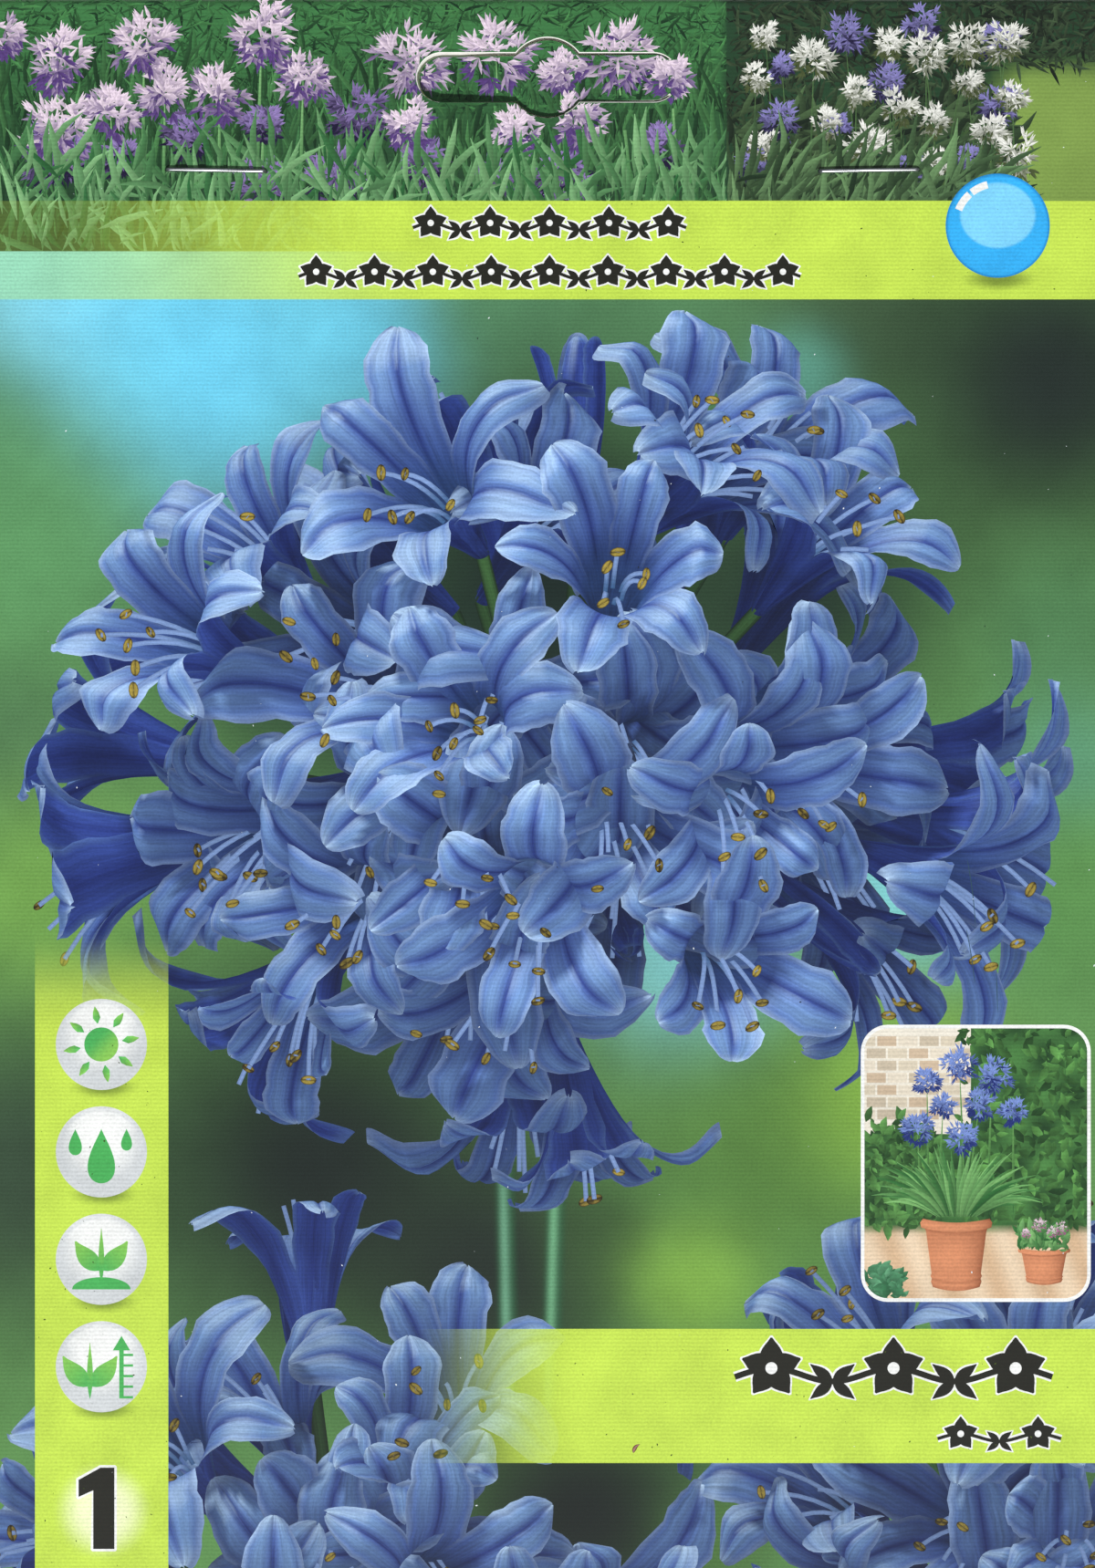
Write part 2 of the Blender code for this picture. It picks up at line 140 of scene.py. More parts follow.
# The slot: a bar with round ends and a round eye at its middle. Its tongue is smaller by the kerf of the cut,
# tilts about its hinge, and is joined to the panel only from JOINED_LEFT to the slot's right end.
SLOT_Y = TOP - 9.8
SLOT_HALF = 32.3 / 2
SLOT_END = 6.2 / 2
SLOT_EYE = 5.0
KERF = 0.3
TONGUE_TILT = math.radians(3.5)
HINGE_X = SLOT_HALF - 1.8
JOINED_LEFT = SLOT_HALF - 2.4
JOINED_HALF = 2.2

# The print's layout: the lower edges of the strip of pictures and of the two stripes below it, the sides of
# the left column, and the title band's lower and upper edge. The back's ink begins FLAP_START before the back.
STRIP_Y = 71.7
BAND_Y = 65.5
PICTURE_Y = 59.6
COLUMN_X = (-63.0, -46.6)
TITLE_Y = (-83.5, -67.0)
FLAP_START = 0.6
LIME = "#C6E353"
AQUA = "#98DAB9"


def on_card(x, v, lift):
    """Places on the card's outer side, in metres, from millimetres as on the flat board.

    x runs across, and v runs up the front, round the fold by an arc, and down the back by its bend and its
    straight tail. lift is the height above the board.
    """
    turn = np.clip((v - FOLD_Y) / FOLD_RADIUS, 0.0, math.pi)
    back = np.maximum(v - BACK_START, 0.0)
    flat = FOLD_Y - BEND_Y
    bend = np.clip((back - flat) / BEND_RADIUS, 0.0, BEND)
    tail = np.maximum(back - flat - BEND_RADIUS * BEND, 0.0)
    y = np.minimum(v, FOLD_Y) + (FOLD_RADIUS + lift) * np.sin(turn) - np.minimum(back, flat)
    y = y - (BEND_RADIUS - lift) * np.sin(bend) - tail * math.cos(BEND)
    z = FACE_Z - FOLD_RADIUS + (FOLD_RADIUS + lift) * np.cos(turn)
    z = z - (BEND_RADIUS - lift) * (1.0 - np.cos(bend)) - tail * math.sin(BEND)
    return np.stack(np.broadcast_arrays(x, y, z), axis=-1).reshape(-1, 3) * MM


def grid_faces(rows, columns, copies=1):
    """Quads of a grid of points, row by row, for each of some grids that follow each other."""
    r, c = np.meshgrid(np.arange(rows - 1), np.arange(columns - 1), indexing="ij")
    first = (r * columns + c).ravel()
    quads = np.stack([first, first + 1, first + columns + 1, first + columns], axis=1)
    return (quads[None] + (np.arange(copies) * rows * columns)[:, None, None]).reshape(-1, 4)


def grid_part(points, rows, columns, copies, ink):
    """A part made of like grids: its points, its faces, and its place across and along each grid."""
    across, along = np.meshgrid(np.linspace(0, 1, columns), np.linspace(0, 1, rows))
    shape = np.tile(np.stack([across.ravel(), along.ravel()], axis=1), (copies, 1))
    return {
        "points": points.reshape(-1, 3),
        "faces": grid_faces(rows, columns, copies),
        "ink": np.broadcast_to(ink, (copies * rows * columns, 3)) if ink.ndim == 1 else ink.reshape(-1, 3),
        "shape": shape,
        "copies": copies,
    }


def turned_out(part, way):
    """A flat part with every face wound to point up (way 1) or down (way -1), by the sign of its area."""
    faces = part["faces"]
    x, y = part["points"][faces, 0], part["points"][faces, 1]
    area = (x * np.roll(y, -1, axis=1) - y * np.roll(x, -1, axis=1)).sum(axis=1)
    return {**part, "faces": np.where(area[:, None] * way < 0, faces[:, ::-1], faces)[np.abs(area) > 1e-12]}


def add_piece(name, parts, finish, flat=0):
    """One mesh of several parts, on the body root. flat is 1 for ink that faces straight up, -1 for down.

    Such ink shades nothing: its layers have the thickness of print, and only the camera sees them. Each copy
    of a grid gets its own square in the map "OFBake", and the map "shape" gives places inside a grid.
    """
    if flat:
        parts = [turned_out(part, flat) for part in parts]
    counts = [len(part["points"]) for part in parts]
    starts = np.cumsum([0] + counts[:-1])
    points = np.concatenate([part["points"] for part in parts])
    corners = np.concatenate([(part["faces"] + start).ravel() for part, start in zip(parts, starts)])
    sizes = np.concatenate([np.full(len(part["faces"]), part["faces"].shape[1]) for part in parts])
    shape = np.concatenate([part["shape"] for part in parts])
    copies = [part["copies"] for part in parts]
    cells = [np.repeat(np.arange(some), all_of // some) for some, all_of in zip(copies, counts)]
    cells = np.concatenate(cells) + np.repeat(np.cumsum([0] + copies[:-1]), counts)
    side = math.ceil(math.sqrt(sum(copies)))
    atlas = (np.stack([cells % side, cells // side], axis=1) + 0.03 + 0.94 * shape) / side
    mesh = bpy.data.meshes.new(name)
    mesh.vertices.add(len(points))
    mesh.vertices.foreach_set("co", points.astype(np.float32).ravel())
    mesh.loops.add(len(corners))
    mesh.loops.foreach_set("vertex_index", corners.astype(np.int32))
    mesh.polygons.add(len(sizes))
    mesh.polygons.foreach_set("loop_start", np.cumsum(np.append(0, sizes[:-1])).astype(np.int32))
    mesh.update(calc_edges=True)
    if "ink" in parts[0]:
        ink = np.concatenate([part["ink"] for part in parts])
        attribute = mesh.color_attributes.new("ink", "FLOAT_COLOR", "POINT")
        attribute.data.foreach_set("color", np.column_stack([ink, np.ones(len(ink))]).ravel())
    mesh.uv_layers.new(name="shape").data.foreach_set("uv", shape[corners].ravel())
    mesh.uv_layers.new(name="OFBake").data.foreach_set("uv", atlas[corners].ravel())
    mesh.validate()
    mesh.shade_smooth()
    if flat == 1:
        mesh.normals_split_custom_set_from_vertices([(0.0, 0.0, 1.0)] * len(points))
    mesh.materials.append(finish)
    made = bpy.data.objects.new(name, mesh)
    bpy.context.scene.collection.objects.link(made)
    if flat:
        made.visible_shadow = False
        made.visible_diffuse = False
        made.visible_glossy = False
    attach(made, "root")
    return made


def smooth_step(low, high, value):
    """0 below low, 1 above high, and an S-curve between."""
    share = np.clip((value - low) / (high - low), 0.0, 1.0)
    return share * share * (3.0 - 2.0 * share)


def mixed(first, second, share):
    """A mix of two colours, or of two arrays of colours, by a share for each point."""
    return first + (second - first) * np.asarray(share)[..., None]


def in_slot(x, y, inset):
    """Whether places lie inside the slot's outline pulled in by inset: its bar with round ends or its eye."""
    bar = np.hypot(np.maximum(np.abs(x) - SLOT_HALF + SLOT_END, 0.0), y - SLOT_Y) < SLOT_END - inset
    return bar | (np.hypot(x, y - SLOT_Y) < SLOT_EYE - inset)


def slot_loop(inset):
    """The slot's outline pulled in by inset: two end arcs and the two arcs of its eye."""
    half, eye = SLOT_END - inset, SLOT_EYE - inset
    corner = math.asin(half / eye)
    loop = []
    for side in (0.0, math.pi):
        turn = np.linspace(-math.pi / 2, math.pi / 2, 25) + side
        loop.append((SLOT_HALF - SLOT_END) * math.cos(side) + half * np.exp(1j * turn))
        turn = np.linspace(corner, math.pi - corner, 21) + side
        loop.append(eye * np.exp(1j * turn))
    loop = np.concatenate(loop)
    return loop.real, loop.imag + SLOT_Y


def turned_down(points):
    """Points of the flat tongue, in millimetres, turned about its joined end as far as it is pushed in."""
    x, y, z = points.T
    front_middle, back_middle = FACE_Z - BOARD / 2, FACE_Z - 2 * FOLD_RADIUS + BOARD / 2
    board_middle = np.where(z > FACE_Z - FOLD_RADIUS, front_middle, back_middle)
    arm, height = x - HINGE_X, z - board_middle
    turned_x = HINGE_X + arm * math.cos(TONGUE_TILT) - height * math.sin(TONGUE_TILT)
    turned_z = board_middle + arm * math.sin(TONGUE_TILT) + height * math.cos(TONGUE_TILT)
    return np.stack([turned_x, y, turned_z], axis=1)


def with_slot(part):
    """Opens the slot in a part: drops the faces over its cut, and turns what lies on the tongue with it."""
    points = part["points"] / MM
    x, y = points[:, 0], points[:, 1]
    tongue = in_slot(x, y, KERF - 0.02)
    panel = ~in_slot(x, y, 0.02)
    joined = (x > JOINED_LEFT) & (np.abs(y - SLOT_Y) < JOINED_HALF) & (x < SLOT_HALF + 1.0)
    faces = part["faces"]
    middle = points[faces].mean(axis=1)
    keep = panel[faces].all(axis=1) & ~in_slot(middle[:, 0], middle[:, 1], 0.0)
    keep |= tongue[faces].all(axis=1) & in_slot(middle[:, 0], middle[:, 1], KERF)
    keep |= joined[faces].all(axis=1)
    points = np.where(tongue[:, None], turned_down(points), points)
    return {**part, "points": points * MM, "faces": faces[keep]}


def sheet(start, end, ink_at, slot_v=None):
    """A thin skin over the card's whole width between two places along it, open at the slot.

    A grid of points, closer together round the fold and the bend, and the slot's two outlines are joined by
    Delaunay triangles. ink_at gives the ink, and slot_v is where the slot's middle lies along the card.
    """
    columns = round((RIGHT - LEFT) / CELL) + 1
    rows = np.linspace(start, end, round((end - start) / CELL) + 1)
    fold = np.linspace(FOLD_Y, BACK_START, 25)
    bend = BACK_START + FOLD_Y - BEND_Y + np.linspace(0.0, BEND_RADIUS * BEND, 13)
    curved = np.concatenate([fold, bend])
    curved = curved[(curved > start) & (curved < end)]
    apart = np.abs(rows[:, None] - np.append(curved, 1e9)).min(axis=1) > 0.3 * CELL
    apart[[0, -1]] = True
    x, v = np.meshgrid(np.linspace(LEFT, RIGHT, columns), np.sort(np.concatenate([rows[apart], curved])))
    x, v = x.ravel(), v.ravel()
    loops = []
    if slot_v is not None:
        near = in_slot(x, v - slot_v + SLOT_Y, -0.4) & ~in_slot(x, v - slot_v + SLOT_Y, KERF + 0.4)
        x, v = x[~near], v[~near]
        for inset in (0.0, KERF):
            loop_x, loop_y = slot_loop(inset)
            first = len(x)
            x = np.append(x, loop_x)
            v = np.append(v, loop_y - SLOT_Y + slot_v)
            loops += [(first + i, first + (i + 1) % len(loop_x)) for i in range(len(loop_x))]
    placed, _, faces, *_ = geometry.delaunay_2d_cdt(np.stack([x, v], axis=1).tolist(), loops, [], 0, 1e-6)
    x, v = np.array([tuple(p) for p in placed]).T
    part = {
        "points": on_card(x, v, LIFT),
        "faces": np.array(faces),
        "ink": ink_at(x, v),
        "shape": np.stack([(x - LEFT) / (RIGHT - LEFT), (v - start) / (end - start)], axis=1),
        "copies": 1,
    }
    return part if slot_v is None else with_slot(part)


def varnished_ink(name, overprinted, veined=False):
    """Offset ink under a semi-gloss varnish, with a fine grain, faint clouds and a line screen 0.49 mm apart.

    The screen is as coarse as the scan shows it. Where the ink is overprinted, plain lime stripes cover what
    lies under them and fade out at one end. Where it is veined, fine streaks run along each petal or leaf.
    """
    made, tree, shader = finish_of(name, {"Roughness": 0.36, "Specular IOR Level": 0.35})
    place = add(tree, "TexCoord").outputs["Object"]
    colour = add(tree, "Attribute", {"attribute_name": "ink"})
    if veined:
        inside = add(tree, "UVMap", {"uv_map": "shape"})
        drift = add(tree, "VectorMath", {"operation": "SCALE", "Scale": 0.07 / MM}, [(place, 0)])
        along = {"operation": "MULTIPLY_ADD", 1: (22.0, 2.2, 0.0)}
        run = add(tree, "VectorMath", along, [(inside, 0), (drift, 2)])
        vein = add(tree, "TexNoise", {"Scale": 1.0, "Detail": 3.0, "Roughness": 0.6}, [(run, "Vector")])
        depth = {"From Min": 0.3, "From Max": 0.7, "To Min": 0.78, "To Max": 1.18}
        streak = add(tree, "MapRange", depth, [(vein.outputs["Fac"], "Value")])
        colour = add(tree, "VectorMath", {"operation": "SCALE"}, [(colour, 0), (streak, "Scale")])
    if overprinted:
        axes = add(tree, "SeparateXYZ", links=[(place, "Vector")])
        x, y = axes.outputs["X"], axes.outputs["Y"]
        # Each stripe: the axis and two places of its sharp edges, the axis and two places between which it
        # fades in, its least cover, and its colours where it is clear and full.
        stripes = (
            (y, BAND_Y, STRIP_Y, x, -64.0, -18.0, 0.12, (LIME, LIME)),
            (y, PICTURE_Y, BAND_Y, x, -67.5, -12.0, 1.0, (AQUA, LIME)),
            (x, *COLUMN_X, y, -18.0, -31.0, 0.0, (LIME, LIME)),
            (y, *TITLE_Y, x, -17.0, 5.0, 0.0, (LIME, LIME)),
        )
        for sharp, start, end, soft, clear, full, least, (first, last) in stripes:
            above = add(tree, "Math", {"operation": "GREATER_THAN", 1: start * MM}, [(sharp, 0)])
            below = add(tree, "Math", {"operation": "LESS_THAN", 1: end * MM}, [(sharp, 0)])
            reach = {"From Min": clear * MM, "From Max": full * MM, "interpolation_type": "SMOOTHSTEP"}
            fade = add(tree, "MapRange", reach, [(soft, "Value")])
            inside = add(tree, "Math", {"operation": "MULTIPLY"}, [(above, 0), (below, 1)])
            thick = add(tree, "MapRange", {"To Min": least}, [(fade, "Value")])
            cover = add(tree, "Math", {"operation": "MULTIPLY"}, [(inside, 0), (thick, 1)])
            tone = add(tree, "ValToRGB", {"stops": [(0.0, first), (1.0, last)]}, [(fade, "Fac")])
            mix = add(tree, "Mix", {"data_type": "RGBA"}, [(cover, 0), (colour, 6), (tone, 7)])
            colour = mix.outputs[2]
    wave = {"bands_direction": "Y", "Scale": 0.64 / MM, "Distortion": 0.8}
    screen = add(tree, "TexWave", wave, [(place, "Vector")]).outputs["Fac"]
    grain = add(tree, "TexNoise", {"Scale": 3.6 / MM, "Detail": 1.0}, [(place, "Vector")]).outputs["Fac"]
    cloud = add(tree, "TexNoise", {"Scale": 0.16 / MM, "Detail": 2.0}, [(place, "Vector")]).outputs["Fac"]
    level = add(tree, "Math", {"operation": "ADD"}, [(grain, 0), (cloud, 1)])
    lines = add(tree, "Math", {"operation": "MULTIPLY_ADD", 1: 0.35}, [(screen, 0), (level, 2)])
    depth = {"From Min": 0.7, "From Max": 1.7, "To Min": 0.81, "To Max": 1.19}
    level = add(tree, "MapRange", depth, [(lines, "Value")])
    tint = add(tree, "VectorMath", {"operation": "SCALE"}, [(colour, 0), (level, "Scale")])
    join(tree, tint, shader, "Base Color")
    return made


UNDER_LIME = varnished_ink("varnished_picture_ink", overprinted=True)
VEINED = varnished_ink("varnished_petal_ink", overprinted=True, veined=True)
OVER_LIME = varnished_ink("varnished_top_ink", overprinted=False)

HEDGE = linear("#5E8F50")
# Soft patches: the x and v of each one's middle, its radius, its colour, and how far it covers the rest.
BLURS = (
    (-58.0, 59.0, 15.0, "#8EDFF4", 1.0),
    (-42.0, 53.0, 20.0, "#72D6F7", 1.0),
    (-71.0, 43.0, 11.0, "#4E8266", 0.95),
    (-22.0, 56.0, 12.0, "#6FCFEC", 0.9),
    (-4.0, 60.0, 13.0, "#568A62", 0.95),
    (-64.0, 30.0, 18.0, "#5F9A62", 0.9),
    (16.0, 57.0, 20.0, "#54855A", 0.9),
    (38.0, 58.0, 13.0, "#43603F", 0.9),
    (31.0, 50.0, 6.0, "#67AE9A", 0.85),
    (62.0, 50.0, 24.0, "#202C27", 1.0),
    (64.0, 18.0, 12.0, "#4F8052", 0.9),
    (0.0, 28.0, 24.0, "#16231F", 1.0),
    (-30.0, 18.0, 18.0, "#22382F", 0.95),
    (32.0, 24.0, 18.0, "#1E2F28", 0.95),
    (-66.0, 2.0, 14.0, "#4C7450", 0.8),
    (-62.0, -14.0, 14.0, "#7DB04E", 0.7),
    (0.0, 4.0, 26.0, "#1B2B28", 1.0),
    (18.0, -22.0, 12.0, "#7FC6C8", 0.95),
    (44.0, -12.0, 11.0, "#83D2D6", 0.9),
    (64.0, 2.0, 9.0, "#5F9C78", 0.9),
    (64.0, -14.0, 11.0, "#5E9450", 0.9),
    (28.0, -46.0, 20.0, "#557F3B", 0.95),
    (44.0, -38.0, 12.0, "#8DBB48", 0.8),
    (-66.0, -48.0, 20.0, "#354B37", 0.97),
    (-28.0, -47.0, 28.0, "#1B2622", 1.0),
    (-8.0, -60.0, 17.0, "#212C26", 0.98),
    (7.0, -57.0, 7.0, "#37522F", 0.75),
    (18.0, -62.0, 8.0, "#86B64A", 0.85),
    (4.0, -90.0, 21.0, "#161F1C", 1.0),
    (21.0, -93.0, 6.0, "#4C7339", 0.85),
    (62.0, -88.0, 14.0, "#3C5F38", 0.9),
)
# Soft stems: where each crosses v = -50, its lean, and its colour.
SOFT_STEMS = ((-5.2, -0.02, "#6FA886"), (1.1, 0.03, "#74B386"))


def garden_ink(x, v):
    """Ink of the blurred garden: soft round patches of colour, one laid over another, and two soft stems.

    The stems come down from behind the large flower head and end behind the title band.
    """
    colour = np.broadcast_to(HEDGE, x.shape + (3,)).copy()
    for middle_x, middle_v, size, tone, share in BLURS:
        near = np.exp(-((((x - middle_x) ** 2 + (v - middle_v) ** 2) / size**2) ** 1.3))
        colour = mixed(colour, linear(tone), share * near)
    shown = smooth_step(-22.0, -34.0, v) * smooth_step(-82.0, -78.0, v)
    for stem_x, lean, tone in SOFT_STEMS:
        off = x - stem_x - lean * (v + 50.0)
        round_green = mixed(linear("#2C5A3C"), linear(tone), np.exp(-(((off + 0.25) / 0.6) ** 2)))
        colour = mixed(colour, round_green, 0.8 * np.exp(-((off / 1.15) ** 4)) * shown)
    return colour


def strip_ink(x, v):
    """Ink behind the strip of small pictures, and its lime turn-over past the fold."""
    leafy = mixed(linear("#23422A"), linear("#3F7A45"), smooth_step(STRIP_Y, TOP, v) * (x < SPLIT_X))
    lawn = smooth_step(52.0, 58.0, x + 0.5 * (84.0 - v)) * smooth_step(90.0, 86.0, v)
    return mixed(leafy, linear("#7E9B4A"), lawn)


stem_x, stem_v = np.meshgrid(np.linspace(-9.0, 5.0, 57), np.linspace(TITLE_Y[0], -18.0, 60))
fine_garden = on_card(stem_x.ravel(), stem_v.ravel(), LIFT + 0.008)
add_piece(
    "print_backdrop",
    [
        sheet(BOTTOM, BAND_Y, garden_ink),
        grid_part(fine_garden, *stem_x.shape, 1, garden_ink(stem_x, stem_v)),
        sheet(BAND_Y, BACK_START - FLAP_START, strip_ink, slot_v=SLOT_Y),
    ],
    UNDER_LIME,
)


# The crushed edge of the slot's cut: bare white board that the die pressed over into the cut. It is a rounded
# lip 0.12 mm wide along the panel's edge, and it isn't there where the tongue is still joined.

LIP = 0.12
lip_turn = np.radians(np.linspace(0.0, 75.0, 5))


def crushed_edge():
    """The lip along the slot's outline: a quarter-round that falls into the cut.

    At each turn a of the round, the lip lies LIP sin a inside the outline and LIP (1 - cos a) down.
    Along the low edge left of the eye, where the tongue is pushed back furthest, the cut is clean.
    """
    rows = []
    for turn in lip_turn:
        loop_x, loop_y = (np.append(side, side[0]) for side in slot_loop(LIP * math.sin(turn)))
        rows.append(on_card(loop_x, loop_y, LIFT - LIP * (1 - math.cos(turn))))
    points = np.concatenate(rows)
    lip = grid_part(points, len(rows), len(rows[0]), 1, np.zeros(3))
    del lip["ink"]
    middle = (points / MM)[lip["faces"]].mean(axis=1)
    joined = (middle[:, 0] > JOINED_LEFT) & (np.abs(middle[:, 1] - SLOT_Y) < JOINED_HALF)
    clean = (middle[:, 0] < 2.0) & (middle[:, 0] - 1.4 * (middle[:, 1] - SLOT_Y) > 2.6 - SLOT_HALF)
    clean &= middle[:, 1] < SLOT_Y - 0.6
    return {**lip, "faces": lip["faces"][~(joined | clean)]}


add_piece("slot_cut_edges", [crushed_edge()], card.data.materials[0])


# The printed flower heads: round umbels of blue trumpet florets on green stalks, one large in the middle and
# two cut off by the card's lower edge. They are worked out in the round, lit and shaded there by a formula,
# and pressed flat onto the card as ink.

# Bezier points of a tepal's middle line in an open flower and in a bud, as reach and height in millimetres,
# and a tepal's half width at shares of its length.
OPEN_LINE = np.array([(0.8, 0.0), (3.0, 10.0), (5.6, 25.0), (16.5, 19.5)])
BUD_LINE = np.array([(0.8, 0.0), (3.2, 8.0), (3.8, 19.0), (0.4, 25.0)])
HALF_WIDTH = np.array([(0.0, 0.9), (0.2, 1.8), (0.4, 2.7), (0.6, 3.4), (0.8, 3.75), (1, 3.5)])
SUNLIGHT = np.array([-0.35, 0.72, 0.6]) / np.linalg.norm([-0.35, 0.72, 0.6])
PETAL_PALE = linear("#A9C3DE")
PETAL_LIGHT = linear("#7599CA")
PETAL_MID = linear("#4661B4")
PETAL_DEEP = linear("#253482")
PETAL_NIGHT = linear("#161E30")
THROAT = linear("#3E6494")
FILAMENT = linear("#86A3D8")
ANTHER = linear("#B5A048")
ANTHER_DARK = linear("#2E2514")
STALK = linear("#4C7A44")
STALK_DARK = linear("#15261A")
ROWS = 20
COLUMNS = 13
GOLDEN_ANGLE = math.pi * (3.0 - math.sqrt(5.0))
HINDMOST = -0.45
FRONT_FLORETS = 12
FLORET_MIDDLE = 19.0
STALK_HALF = 0.8
FILAMENT_HALF = 0.26
ANTHER_WAIST = 0.58
SHADE_CELL = 1.3


def along_tepal():
    """The rows of a tepal as shares of its length, closer together towards its tip."""
    return 1.0 - (1.0 - np.linspace(0.0, 1.0, ROWS)) ** 1.6


def across_tepal():
    """The columns of a tepal from rim (-1) to rim (1), closer together beside its rib."""
    even = np.linspace(-1.0, 1.0, COLUMNS)
    return np.sign(even) * np.abs(even) ** 1.35


def tepals(openness, roll, draw):
    """Six tepals of each floret in its own axes, in millimetres: (floret, tepal, row, column, 3).

    A tepal's middle line is a Bezier curve of reach from the axis against height, between a bud's and an open
    flower's. Across it the surface hugs the tube low down. Where it flares it has a groove along its middle,
    two full halves, rims that turn down, and a slow wave.
    """
    n = len(openness)
    s = along_tepal()
    t = across_tepal()
    weights = np.stack([(1 - s) ** 3, 3 * (1 - s) ** 2 * s, 3 * (1 - s) * s**2, s**3], axis=1)
    each = np.clip(openness[:, None] + draw.normal(0.0, 0.12, (n, 6)), 0.0, 1.15)
    lines = BUD_LINE + (OPEN_LINE - BUD_LINE) * each[:, :, None, None]
    reach, height = np.moveaxis(np.einsum("sk,npkc->npsc", weights, lines), -1, 0)
    inner = np.arange(6) % 2
    half = np.interp(s, *HALF_WIDTH.T)[None, None, :] * (0.86 + 0.2 * inner)[None, :, None]
    half = half * (0.6 + 0.4 * openness)[:, None, None] * draw.normal(1.0, 0.07, (n, 6, 1))
    half = half * np.sqrt(np.clip(1.0 - np.maximum((s - 0.74) / 0.262, 0.0) ** 2.3, 0.0, 1.0))
    edge = 1.0 + 0.045 * np.sin(s * 30.0 + draw.uniform(0, 6, (n, 6, 1)))
    edge = edge + 0.03 * np.sin(s * 71.0 + draw.uniform(0, 6, (n, 6, 1)))
    across = (half * edge)[..., None] * t
    flare = (smooth_step(0.4, 0.8, s) * openness[:, None])[:, None, :, None]
    reach = reach[..., None] * (0.94 + 0.1 * inner)[None, :, None, None]
    height = height[..., None] + 0.6 * inner[None, :, None, None]
    reach = reach - across**2 / (2 * np.maximum(reach, 1.2)) * (1 - flare)
    curl = np.clip(draw.normal(0.0, 0.4, (n, 6, 1, 1)), -0.6, 0.6)
    wave = 0.9 * np.sin(9.0 * s[:, None] + draw.uniform(0, 6, (n, 6, 1, 1))) * t**3 * flare
    groove = -0.5 * np.exp(-((t / 0.13) ** 2)) * flare
    rim = -1.5 * np.abs(t) ** 3 * flare * (0.4 + curl)
    tip = -2.4 * smooth_step(0.75, 1.0, s)[:, None] ** 2 * (0.5 + curl) * flare
    turn = (np.arange(6) * math.pi / 3)[None, :] + roll[:, None] + draw.normal(0.0, 0.1, (n, 6))
    outward = np.stack([np.cos(turn), np.sin(turn), np.zeros_like(turn)], axis=-1)[:, :, None, None]
    sideways = np.stack([-np.sin(turn), np.cos(turn), np.zeros_like(turn)], axis=-1)[:, :, None, None]
    lift = height + wave + groove + rim + tip
    twist = 0.7 * draw.normal(0.0, 1.0, (n, 6, 1, 1)) * (s[:, None] ** 2) * openness[:, None, None, None]
    return (
        outward * reach[..., None]
        + sideways * (across + twist)[..., None]
        + np.array([0.0, 0.0, 1.0]) * lift[..., None]
    )


def stamens(roll, down):
    """Middle lines of each floret's six filaments in its own axes: out of the throat and drooping."""
    s = np.linspace(0.0, 1.0, 7)
    turn = (np.arange(6) * math.pi / 3 + 0.5)[None, :] + roll[:, None]
    reach = 0.9 + (2.3 + 1.5 * np.sin(turn * 2.3 + roll[:, None]))[..., None] * s**1.5
    line = np.empty(turn.shape + (7, 3))
    line[..., 0] = np.cos(turn)[..., None] * reach + 4.2 * s**2 * down[:, None, None, 0]
    line[..., 1] = np.sin(turn)[..., None] * reach + 4.2 * s**2 * down[:, None, None, 1]
    line[..., 2] = 9.0 + (12.0 + 2.6 * np.cos(turn * 1.7 + roll[:, None]))[..., None] * s
    return line


def floret_ways(count, seed):
    """Ways from a head's middle to its florets: spread over a ball by the golden angle, each shaken a little.

    The hindmost ones are left out, FRONT_FLORETS more stand on a spiral in front, and all lean to the front.
    """
    k = np.arange(count) + 0.5
    height = 1.0 - 2.0 * k / count
    turn = k * GOLDEN_ANGLE + seed
    ring = np.sqrt(1.0 - height**2)
    ways = np.stack([ring * np.cos(turn), height, ring * np.sin(turn)], axis=1)
    ways += np.random.default_rng(seed).normal(0.0, 0.1, ways.shape)
    ways /= np.linalg.norm(ways, axis=1, keepdims=True)
    turn = np.arange(FRONT_FLORETS) * GOLDEN_ANGLE
    ring = 0.62 * np.sqrt((np.arange(FRONT_FLORETS) + 0.5) / FRONT_FLORETS)
    front = np.stack([ring * np.cos(turn), ring * np.sin(turn), np.sqrt(1 - ring**2)], axis=1)
    ways = np.concatenate([ways[ways[:, 2] > HINDMOST], front])
    ways[:, 2] += 0.12
    return ways / np.linalg.norm(ways, axis=1, keepdims=True)


def lit_share(points, way, cell, near, far):
    """How open each point is along a way, from 0 to 1.

    Points are sorted into square cells across the way. A point is shaded by how far it lies behind the
    foremost point of its cell: not at all up to near, and wholly past far.
    """
    way = way / np.linalg.norm(way)
    side = np.cross(way, [0.9, 0.3, 0.1])
    side /= np.linalg.norm(side)
    plane = np.stack([points @ side, points @ np.cross(way, side)], axis=1)
    place = np.floor((plane - plane.min(axis=0)) / cell).astype(int)
    key = place[:, 0] * (place[:, 1].max() + 1) + place[:, 1]
    depth = points @ way
    foremost = np.full(key.max() + 1, -np.inf)
    np.maximum.at(foremost, key, depth)
    return 1.0 - smooth_step(near, far, foremost[key] - depth)


